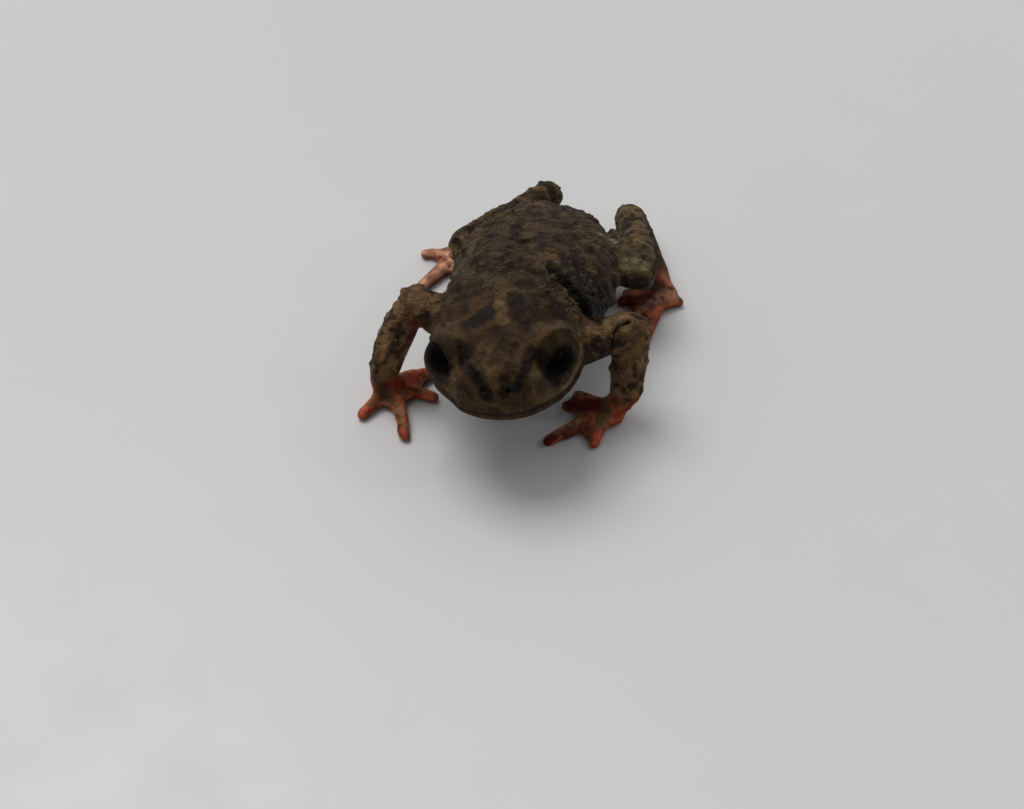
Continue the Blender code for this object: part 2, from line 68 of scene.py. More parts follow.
LEFT_EYE = middle_of("eye_left")
RIGHT_EYE = middle_of("eye_right")
FACE = (LEFT_EYE + RIGHT_EYE) / 2
ACROSS = (LEFT_EYE - RIGHT_EYE).normalized()
FORWARD = Vector((ACROSS.y, -ACROSS.x, 0.0)).normalized()
UP = FORWARD.cross(ACROSS).normalized()
MOUTH_FRONT = 2.45
MOUTH_FRONT_UP = -0.86
MOUTH_CORNER = -1.15
MOUTH_CORNER_UP = -1.16
NOSTRIL = (0.52, 2.05, 0.14)
EYE_RADIUS = 1.0
EYE_DETAIL = 5
CORNEA_SWELL = 0.05
EYE_BED = 0.93
BED_SEGMENTS = 32
BED_RINGS = 20
EYE_LOOKS = (0.60, 0.60, 0.57)
EYE_SLIT_LENGTH = math.radians(54)
EYE_SLIT_HEIGHT = math.radians(28)
EYE_SLIT_TILT = math.radians(11)
EYE_SLIT_POWER = 1.75
LID_RADIUS = 0.13
LID_BALLS = 36
BALL_DETAIL = 2
# Rows of balls in the lids: angle past the slit, and how far the row stands off the globe
LID_ROWS = ((0.13, 0.01), (0.34, 0.05), (0.56, 0.09), (0.78, 0.12), (1.00, 0.13))


def on_face(across, forward, up):
    """A place on the head, in millimetres from the middle between the eyes."""
    return FACE + ACROSS * across + FORWARD * forward + UP * up


# Camera

CAMERA_FROM_LEFT_EYE = Vector((9.88, -57.18, 57.50))
CAMERA_AZIMUTH = math.radians(11.377)
CAMERA_ELEVATION = math.radians(46.052)
LENS = 68.977
SENSOR = 36.0
CLIP_NEAR = 0.002
CLIP_FAR = 5.0


def make_camera():
    """The camera at the photo's viewing angle, placed from the left eye."""
    data = bpy.data.cameras.new("camera")
    data.lens = LENS
    data.sensor_width = SENSOR
    data.clip_start = CLIP_NEAR
    data.clip_end = CLIP_FAR
    thing = bpy.data.objects.new("camera", data)
    bpy.context.scene.collection.objects.link(thing)
    thing.location = (LEFT_EYE + CAMERA_FROM_LEFT_EYE) * MM
    forward = Vector((
        -math.sin(CAMERA_AZIMUTH) * math.cos(CAMERA_ELEVATION),
        math.cos(CAMERA_AZIMUTH) * math.cos(CAMERA_ELEVATION),
        -math.sin(CAMERA_ELEVATION),
    ))
    thing.rotation_euler = forward.to_track_quat("-Z", "Y").to_euler()
    bpy.context.scene.camera = thing
    bpy.context.view_layer.update()
    return thing


camera = make_camera()


def sight(pixel):
    """Start and direction, in millimetres, of the camera's line of sight through a pixel."""
    across = (pixel[0] - FRAME_WIDTH / 2) / FRAME_WIDTH * SENSOR
    down = (pixel[1] - FRAME_HEIGHT / 2) / FRAME_WIDTH * SENSOR
    turn = camera.matrix_world.to_3x3()
    return camera.matrix_world.translation / MM, (turn @ Vector((across, -down, -LENS))).normalized()


# Skin: the solids grown together, shrunk back, and made of even grain again

COARSE_GRAIN = 0.088
FINE_GRAIN = 0.083
GROW = 0.24
SHRINK_STEPS = 4
SAME_PLACE = 1e-7
RELAX = 0.5
UNSHRINK = 0.52
FLESH = sorted(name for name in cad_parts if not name.startswith("eye"))


def add_node(bm, node):
    """Add a copy of a node, in millimetres and grown along its normals, to a mesh in the making."""
    copy = bmesh.new()
    copy.from_mesh(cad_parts[node].data)
    bmesh.ops.remove_doubles(copy, verts=copy.verts, dist=SAME_PLACE)
    bmesh.ops.scale(copy, vec=(1 / MM,) * 3, verts=copy.verts)
    bmesh.ops.recalc_face_normals(copy, faces=copy.faces)
    copy.normal_update()
    for vert in copy.verts:
        vert.co += vert.normal * GROW
    part = bpy.data.meshes.new("part")
    copy.to_mesh(part)
    copy.free()
    bm.from_mesh(part)
    bpy.data.meshes.remove(part)


def eye_axes(side):
    """Which way an eye looks, the run of its slit, and the way across the slit."""
    looks = (ACROSS * side * EYE_LOOKS[0] + FORWARD * EYE_LOOKS[1] + UP * EYE_LOOKS[2]).normalized()
    run = (FORWARD - looks * FORWARD.dot(looks)).normalized()
    rise = (UP - looks * UP.dot(looks) - run * UP.dot(run)).normalized()
    run = run * math.cos(EYE_SLIT_TILT) + rise * math.sin(EYE_SLIT_TILT)
    rise = (rise - run * rise.dot(run)).normalized()
    return looks, run, rise


def slit_reach(turn):
    """How far the eye's slit opens, as an angle from its middle, at a turn round it."""
    along = abs(math.cos(turn) / EYE_SLIT_LENGTH) ** EYE_SLIT_POWER
    over = abs(math.sin(turn) / EYE_SLIT_HEIGHT) ** EYE_SLIT_POWER
    return (along + over) ** (-1 / EYE_SLIT_POWER)


def add_lids(bm, eye, side):
    """Add lids round one eye's slit, as rows of balls over the globe that the grain welds."""
    looks, run, rise = eye_axes(side)
    for row, (past_slit, lift) in enumerate(LID_ROWS):
        for k in range(LID_BALLS):
            turn = 2 * math.pi * (k + row / 2) / LID_BALLS
            angle = slit_reach(turn) + past_slit
            outward = run * math.cos(turn) + rise * math.sin(turn)
            spot = looks * math.cos(angle) + outward * math.sin(angle)
            place = Matrix.Translation(eye + spot * (EYE_RADIUS + lift))
            bmesh.ops.create_icosphere(bm, subdivisions=BALL_DETAIL, radius=LID_RADIUS + GROW, matrix=place)


def remeshed(mesh, grain):
    """A mesh made of even grain, as a new mesh in place of the old."""
    thing = bpy.data.objects.new("grain", mesh)
    bpy.context.scene.collection.objects.link(thing)
    remesh = thing.modifiers.new("grain", "REMESH")
    remesh.mode = "VOXEL"
    remesh.voxel_size = grain
    bpy.context.view_layer.update()
    evaluated = thing.evaluated_get(bpy.context.evaluated_depsgraph_get())
    result = bpy.data.meshes.new_from_object(evaluated)
    bpy.data.objects.remove(thing)
    bpy.data.meshes.remove(mesh)
    return result


class Surface:
    """A mesh's points as an array, with the sums over neighbours that smoothing needs."""

    def __init__(self, mesh):
        self.mesh = mesh
        self.count = len(mesh.vertices)
        points = np.empty(self.count * 3, np.float32)
        mesh.vertices.foreach_get("co", points)
        self.points = points.reshape(-1, 3).astype(float)
        edges = np.empty(len(mesh.edges) * 2, np.int32)
        mesh.edges.foreach_get("vertices", edges)
        self.edges = edges.reshape(-1, 2)
        self.degree = np.bincount(edges, minlength=self.count).astype(float)

    def normals(self):
        """Unit normals of the points as they are now, which also writes the points to the mesh."""
        self.mesh.vertices.foreach_set("co", self.points.astype(np.float32).ravel())
        self.mesh.update()
        found = np.empty(self.count * 3, np.float32)
        self.mesh.vertices.foreach_get("normal", found)
        return found.reshape(-1, 3).astype(float)

    def blurred(self, values):
        """Each point's mean over its neighbours."""
        if values.ndim == 2:
            return np.stack([self.blurred(column) for column in values.T], axis=1)
        a, b = self.edges.T
        total = np.bincount(a, values[b], self.count) + np.bincount(b, values[a], self.count)
        return total / self.degree

    def smooth(self, rounds, weight=1.0, keep_volume=True):
        """Relax the points towards their neighbours, by weight, and push back out to keep the volume."""
        weight = np.broadcast_to(weight, self.count)[:, None]
        for _ in range(rounds):
            self.points += RELAX * weight * (self.blurred(self.points) - self.points)
            if keep_volume:
                self.points -= UNSHRINK * weight * (self.blurred(self.points) - self.points)

    def push(self, height):
        """Move the points along their normals by a height each."""
        self.points += self.normals() * height[:, None]

    def tree(self):
        """A tree for casting rays at the surface as it is now."""
        faces = [tuple(face.vertices) for face in self.mesh.polygons]
        return BVHTree.FromPolygons([tuple(point) for point in self.points], faces)


def grow_skin():
    """One closed skin round all the flesh, with a bed under each eye and its creases still soft."""
    bm = bmesh.new()
    for node in FLESH:
        add_node(bm, node)
    for eye, side in ((LEFT_EYE, 1), (RIGHT_EYE, -1)):
        place = Matrix.Translation(eye)
        bmesh.ops.create_uvsphere(
            bm, u_segments=BED_SEGMENTS, v_segments=BED_RINGS, radius=EYE_BED + GROW, matrix=place)
        add_lids(bm, eye, side)
    mesh = bpy.data.meshes.new("grown")
    bm.to_mesh(mesh)
    bm.free()
    rough = Surface(remeshed(mesh, COARSE_GRAIN))
    rough.smooth(2)
    for _ in range(SHRINK_STEPS):
        rough.push(np.full(rough.count, -GROW / SHRINK_STEPS))
        rough.smooth(1)
    rough.normals()
    return Surface(remeshed(rough.mesh, FINE_GRAIN))


# Measures over the skin

PART_REACH = 0.35
SEED_STEP = (7.3, 3.1, 5.7)
TRACE_STEP = 2.5


def fade(values, full, none):
    """1 where values are at full, 0 at none, and a smooth step between."""
    share = np.clip((values - none) / (full - none), 0.0, 1.0)
    return share * share * (3.0 - 2.0 * share)


def tree_of(words):
    """A tree for finding the nearest place on the solids whose names start with any of the words."""
    points = []
    faces = []
    for name in FLESH:
        if name.startswith(words):
            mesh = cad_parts[name].data
            start = len(points)
            points += [tuple(vert.co / MM) for vert in mesh.vertices]
            faces += [tuple(start + i for i in face.vertices) for face in mesh.polygons]
    return BVHTree.FromPolygons(points, faces)


def distance_to_nodes(surface, words):
    """How far each point of the skin is from some of the nodes."""
    tree = tree_of(words)
    return np.array([tree.find_nearest(point)[3] for point in surface.points])


def shares_of_parts(surface, kinds):
    """How much each point of the skin belongs to each kind of part: the shares add up to 1."""
    closeness = {name: np.exp(-(distance_to_nodes(surface, words) / PART_REACH) ** 2) + 1e-6
                 for name, words in kinds.items()}
    total = sum(closeness.values())
    return {name: value / total for name, value in closeness.items()}


def waves(points, size, seed):
    """Smooth noise between about -1 and 1, with features of about a size in millimetres."""
    shift = Vector([seed * step for step in SEED_STEP])
    return np.array([noise.noise(Vector(point) / size + shift) for point in points])


def distance_to_places(points, places):
    """How far each point is from the nearest of a few places."""
    best = np.full(len(points), 1e9)
    for place in places:
        best = np.minimum(best, ((points - np.array(place)) ** 2).sum(axis=1))
    return np.sqrt(best)


def traced(tree, pixels):
    """Places on the skin under a line of pixels, a few pixels apart."""
    places = []
    for start, end in zip(pixels, pixels[1:] + pixels[-1:]):
        count = max(1, round(math.dist(start, end) / TRACE_STEP))
        for k in range(count):
            pixel = [a + (b - a) * k / count for a, b in zip(start, end)]
            spot = tree.ray_cast(*sight(pixel))[0]
            if spot is not None:
                places.append(spot)
    return places


# The skin's shape

skin = grow_skin()
KINDS = {
    "head": ("head",),
    "torso": ("torso",),
    "upper_arms": ("upper_arm",),
    "forearms": ("forearm",),
    "hands": ("hand",),
    "thighs": ("thigh",),
    "shanks": ("shank",),
    "tarsi": ("tarsus",),
    "feet": ("foot",),
}
part = shares_of_parts(skin, KINDS)
digits = part["hands"] + part["feet"]
arms = part["upper_arms"] + part["forearms"]
legs = part["thighs"] + part["shanks"] + part["tarsi"]
relative = skin.points - np.array(FACE)
across = relative @ np.array(ACROSS)
forward = relative @ np.array(FORWARD)
up = relative @ np.array(UP)
eye_distance = distance_to_places(skin.points, (LEFT_EYE, RIGHT_EYE))

# The joints, the nape and the crown are evened out most
BODY_ROUNDS = 8
CROWN_ROUNDS = 14
DIGIT_ROUNDS = 2
LAST_ROUNDS = 3
CROWN_UP = (-0.2, -0.6)
CROWN_CLEAR_OF_EYES = (1.6, 1.35)
nape = np.clip(5 * part["head"] * part["torso"], 0, 1)
crown = part["head"] * fade(up, *CROWN_UP) * fade(eye_distance, *CROWN_CLEAR_OF_EYES)
skin.smooth(BODY_ROUNDS, 0.9 * part["torso"] + 0.5 * legs + 0.4 * arms, keep_volume=False)
skin.smooth(CROWN_ROUNDS, 0.9 * np.maximum(nape, crown), keep_volume=False)
skin.smooth(DIGIT_ROUNDS, 0.6 * digits, keep_volume=False)
skin.smooth(LAST_ROUNDS, 0.5)
tree = skin.tree()

# Small shifts: name, pixel, reach, and how far right, away from the camera and up, in millimetres
RIGHT = np.array((math.cos(CAMERA_AZIMUTH), math.sin(CAMERA_AZIMUTH), 0.0))
AWAY = np.array((-math.sin(CAMERA_AZIMUTH), math.cos(CAMERA_AZIMUTH), 0.0))
RISE = np.array((0.0, 0.0, 1.0))
SHIFT_CORE = 0.15
SHIFTS = (
    ("far side of the jaw", (445, 392), 1.10, (0.17, 0.0, 0.06)),
    ("far elbow", (394, 306), 1.00, (0.18, 0.0, -0.02)),
    ("far knee", (460, 238), 0.80, (0.16, 0.0, -0.09)),
    ("far calf", (500, 212), 0.80, (-0.06, 0.0, 0.17)),
    ("far heel", (556, 196), 0.70, (-0.08, 0.0, 0.0)),
    ("far third finger", (404, 430), 0.70, (-0.13, 0.0, 0.0)),
    ("far thumb", (412, 376), 0.60, (0.0, 0.20, 0.0)),
    ("far toes", (432, 256), 0.60, (0.0, 0.10, 0.0)),
    ("near inner toes", (632, 299), 0.70, (-0.05, 0.16, 0.0)),
    ("near wrist", (636, 396), 0.90, (0.13, -0.03, -0.05)),
    ("near third finger", (572, 434), 0.60, (0.0, -0.12, 0.0)),
)
for _, pixel, reach, (right, away, rise) in SHIFTS:
    share = fade(distance_to_places(skin.points, traced(tree, (pixel,))), SHIFT_CORE * reach, reach)
    skin.points += share[:, None] * (right * RIGHT + away * AWAY + rise * RISE)
tree = skin.tree()

# Mouth
MOUTH_WIDTH = 0.060
MOUTH_PRESS = 0.08
MOUTH_WAVER = 0.05
MOUTH_END = (0.25, -0.15)
LIP_PLACE = 0.2
LIP_WIDTH = 0.30
LIP_SWELL = 0.05
MOSTLY_HEAD = (0.75, 0.4)
mouth_slope = (MOUTH_CORNER_UP - MOUTH_FRONT_UP) / (MOUTH_CORNER - MOUTH_FRONT)
mouth_up = MOUTH_FRONT_UP + (forward - MOUTH_FRONT) * mouth_slope
from_mouth = up - mouth_up + MOUTH_WAVER * waves(skin.points, 0.9, 3)
along_mouth = fade(forward, MOUTH_CORNER + MOUTH_END[0], MOUTH_CORNER + MOUTH_END[1])
along_mouth *= fade(part["head"], *MOSTLY_HEAD)
mouth = np.exp(-(from_mouth / MOUTH_WIDTH) ** 2) * along_mouth
lips = np.exp(-((np.abs(from_mouth) - LIP_PLACE) / LIP_WIDTH) ** 2) * along_mouth
skin.push(LIP_SWELL * lips - MOUTH_PRESS * mouth)

# Nostrils, each in a low rim
NOSTRIL_HOLE = (0.04, 0.13)
NOSTRIL_DEPTH = 0.15
RIM_PLACE = 0.19
RIM_WIDTH = 0.09
RIM_HEIGHT = 0.04
nostrils = [on_face(side * NOSTRIL[0], NOSTRIL[1], NOSTRIL[2]) for side in (1, -1)]
nostril_distance = distance_to_places(skin.points, nostrils)
nostril = fade(nostril_distance, *NOSTRIL_HOLE)
nostril_rim = np.exp(-((nostril_distance - RIM_PLACE) / RIM_WIDTH) ** 2)
skin.push(RIM_HEIGHT * nostril_rim - NOSTRIL_DEPTH * nostril)

# Folds and hollows: name, pixels, half width and depth in millimetres (a negative depth is a ridge)
FOLDS = (
    ("crease across the back", ((511, 238), (519, 242), (527, 241)), 0.12, 0.10),
    ("edge of the shoulder", ((546, 268), (556, 282), (567, 297), (578, 312)), 0.14, -0.09),
    ("hollow of the wet flank", ((552, 268), (562, 279), (575, 294), (588, 312), (598, 322)), 0.23, 0.30),
    ("swell of the flank", ((589, 250), (597, 268), (605, 286), (611, 302)), 0.26, -0.09),
    ("first lump of the hollow", ((574, 279), (578, 284)), 0.10, -0.13),
    ("second lump of the hollow", ((582, 276), (585, 281)), 0.10, -0.12),
    ("third lump of the hollow", ((590, 287), (591, 291)), 0.09, -0.12),
    ("fourth lump of the hollow", ((588, 297), (592, 301)), 0.09, -0.13),
    ("first fold of the flank", ((568, 254), (580, 270), (590, 288), (598, 304)), 0.09, -0.09),
    ("groove after it", ((576, 252), (588, 268), (598, 286), (606, 306)), 0.08, 0.10),
    ("second fold of the flank", ((588, 258), (600, 274), (608, 292), (612, 306)), 0.10, -0.08),
    ("groove by the belly", ((604, 262), (611, 276), (616, 292), (617, 306)), 0.08, 0.10),
    ("ridge of the flank", ((602, 222), (604, 240), (611, 262)), 0.14, -0.07),
    ("ridge behind the shoulder", ((560, 230), (580, 233), (600, 228)), 0.20, -0.08),
    ("fold at the groin", ((604, 240), (614, 237), (620, 240)), 0.12, 0.10),
    ("fold of the far calf", ((464, 228), (478, 229), (490, 225), (499, 216)), 0.10, 0.12),
    ("fold of the near shank", ((619, 234), (626, 226), (634, 219)), 0.08, 0.09),
    ("fold behind the heel", ((626, 241), (636, 236), (652, 233)), 0.08, 0.09),
    ("pit by the knee", ((632, 246), (640, 251)), 0.12, 0.12),
    ("swell under the knee", ((616, 279), (632, 283), (650, 283)), 0.34, -0.28),
    ("belly by the elbow", ((610, 298), (614, 306)), 0.30, -0.14),
    ("fold of the near elbow", ((612, 346), (614, 334), (620, 326), (629, 322)), 0.09, 0.19),
    ("top of the near forearm", ((626, 332), (632, 338)), 0.26, -0.08),
    ("bulge of the near elbow", ((624, 332), (629, 334)), 0.20, -0.08),
    ("fold of the far elbow", ((424, 312), (430, 322), (428, 332)), 0.10, 0.09),
    ("rim of the far brow", ((452, 336), (462, 343), (468, 352)), 0.16, -0.05),
    ("rim of the near brow", ((560, 330), (546, 340), (536, 350)), 0.16, -0.05),
    ("furrow of the far snout", ((471, 370), (480, 383), (487, 394)), 0.13, 0.06),
    ("furrow of the near snout", ((526, 364), (523, 378), (520, 390)), 0.13, 0.06),
    ("fold of the nape", ((470, 298), (492, 290), (520, 287), (548, 292), (572, 304)), 0.14, 0.05),
)
for _, pixels, width, depth in FOLDS:
    away = distance_to_places(skin.points, traced(tree, pixels))
    skin.push(-depth * np.exp(-(away / width) ** 2))

# Warts: most on the back, some on the limbs, few on the head, and none round the nostrils, eyes and lips
WART_COUNT = 900
WART_SEED = 11
WART_RADII = (0.11, 0.30)
WART_STEEPNESS = 0.40
LARGE_ARE_RARE = 2.2
CLEAR_OF_NOSTRILS = (0.5, 0.25)
CLEAR_OF_EYES = (1.75, 1.45)
rng = np.random.default_rng(WART_SEED)
upward = skin.normals()[:, 2]
away_from_face = fade(nostril_distance, *CLEAR_OF_NOSTRILS) * fade(eye_distance, *CLEAR_OF_EYES)
away_from_face *= 1 - np.clip(lips + mouth, 0, 1)
rough = part["torso"] * fade(upward, 0.1, -0.5) + 0.45 * part["head"] * fade(up, -0.5, -0.9)
rough += 0.75 * part["upper_arms"] + 0.7 * part["forearms"] + 0.6 * part["thighs"]
rough += 0.55 * part["shanks"] + 0.35 * part["tarsi"]
rough *= np.where(part["head"] > 0.5, away_from_face, fade(upward, 0.0, -0.45))
places = KDTree(skin.count)
for k, point in enumerate(skin.points):
    places.insert(point, k)
places.balance()
wart = np.zeros(skin.count)
wart_height = np.zeros(skin.count)
seeds = rng.choice(skin.count, WART_COUNT, replace=False, p=rough / rough.sum())
for seed in seeds:
    radius = WART_RADII[0] + (WART_RADII[1] - WART_RADII[0]) * rng.random() ** LARGE_ARE_RARE
    radius *= 0.55 + 0.45 * rough[seed]
    for _, k, distance in places.find_range(skin.points[seed], radius):
        dome = (1 - (distance / radius) ** 2) ** 1.5
        if dome > wart[k]:
            wart[k] = dome
            wart_height[k] = dome * radius * WART_STEEPNESS
skin.push(wart_height)

# Soft lumps, and crumpled ridges where the skin is rough
CRUMPLE = 0.14
lumps = 0.035 * waves(skin.points, 0.9, 5) + 0.030 * waves(skin.points, 0.42, 6)
crumple = 0.30 - np.abs(waves(skin.points, 1.1, 7)) - 0.5 * np.abs(waves(skin.points, 0.5, 8))
crumpled = np.clip(rough + 0.3 * part["torso"], 0, 1)
skin.push(lumps * (0.25 + 0.75 * rough) + CRUMPLE * crumple * crumpled)
skin.smooth(1, 0.5)

# The soles lie on the floor
skin.points[:, 2] = np.maximum(skin.points[:, 2], 0.0)


# Markings

# Near-black: for dark marks, and as painted shade in hollows, creases, grooves and the nostril pits
INK = (0.006, 0.004, 0.003)
UMBER = (0.018, 0.011, 0.006)
BROWN = (0.046, 0.030, 0.016)
OLIVE = (0.080, 0.056, 0.027)
# Grey-olive of the flank's lumps and ridges, partly their own colour and partly a painted highlight on their
# wet tops
SLATE_AND_SHEEN = (0.085, 0.075, 0.058)
MOSS = (0.225, 0.190, 0.098)
OCHRE = (0.165, 0.105, 0.045)
CLAY = (0.150, 0.085, 0.040)
TAN = (0.220, 0.125, 0.075)
PEACH = (0.780, 0.400, 0.250)
PALE = (0.260, 0.220, 0.170)
# Pale blue-grey of a painted highlight: reflected light along the far lid's rim
PAINTED_LID_HIGHLIGHT = (0.150, 0.175, 0.200)
# Dark red-brown: the spots before the eyes, and painted shade under the near knee and behind the near jaw
DARK_RED_BROWN = (0.014, 0.0065, 0.0035)
BRICK = (0.140, 0.028, 0.014)
RED = (0.270, 0.024, 0.008)
CORAL = (0.480, 0.090, 0.050)
ORANGE = (0.420, 0.115, 0.050)
# Deep red; on the near sole and thumb it is the red of the skin darkened as painted shade
CRIMSON = (0.085, 0.005, 0.004)

# How much lighter or darker some parts are than the colours above
TONES = {
    "head": (1.26, 1.08, 0.88),
    "torso": (0.94, 0.92, 0.88),
    "forearms": (1.55, 1.45, 1.45),
    "thighs": (1.35, 1.35, 1.20),
    "shanks": (1.28, 1.28, 1.15),
}
CROWN_TONE = (0.62, 0.53, 0.41)

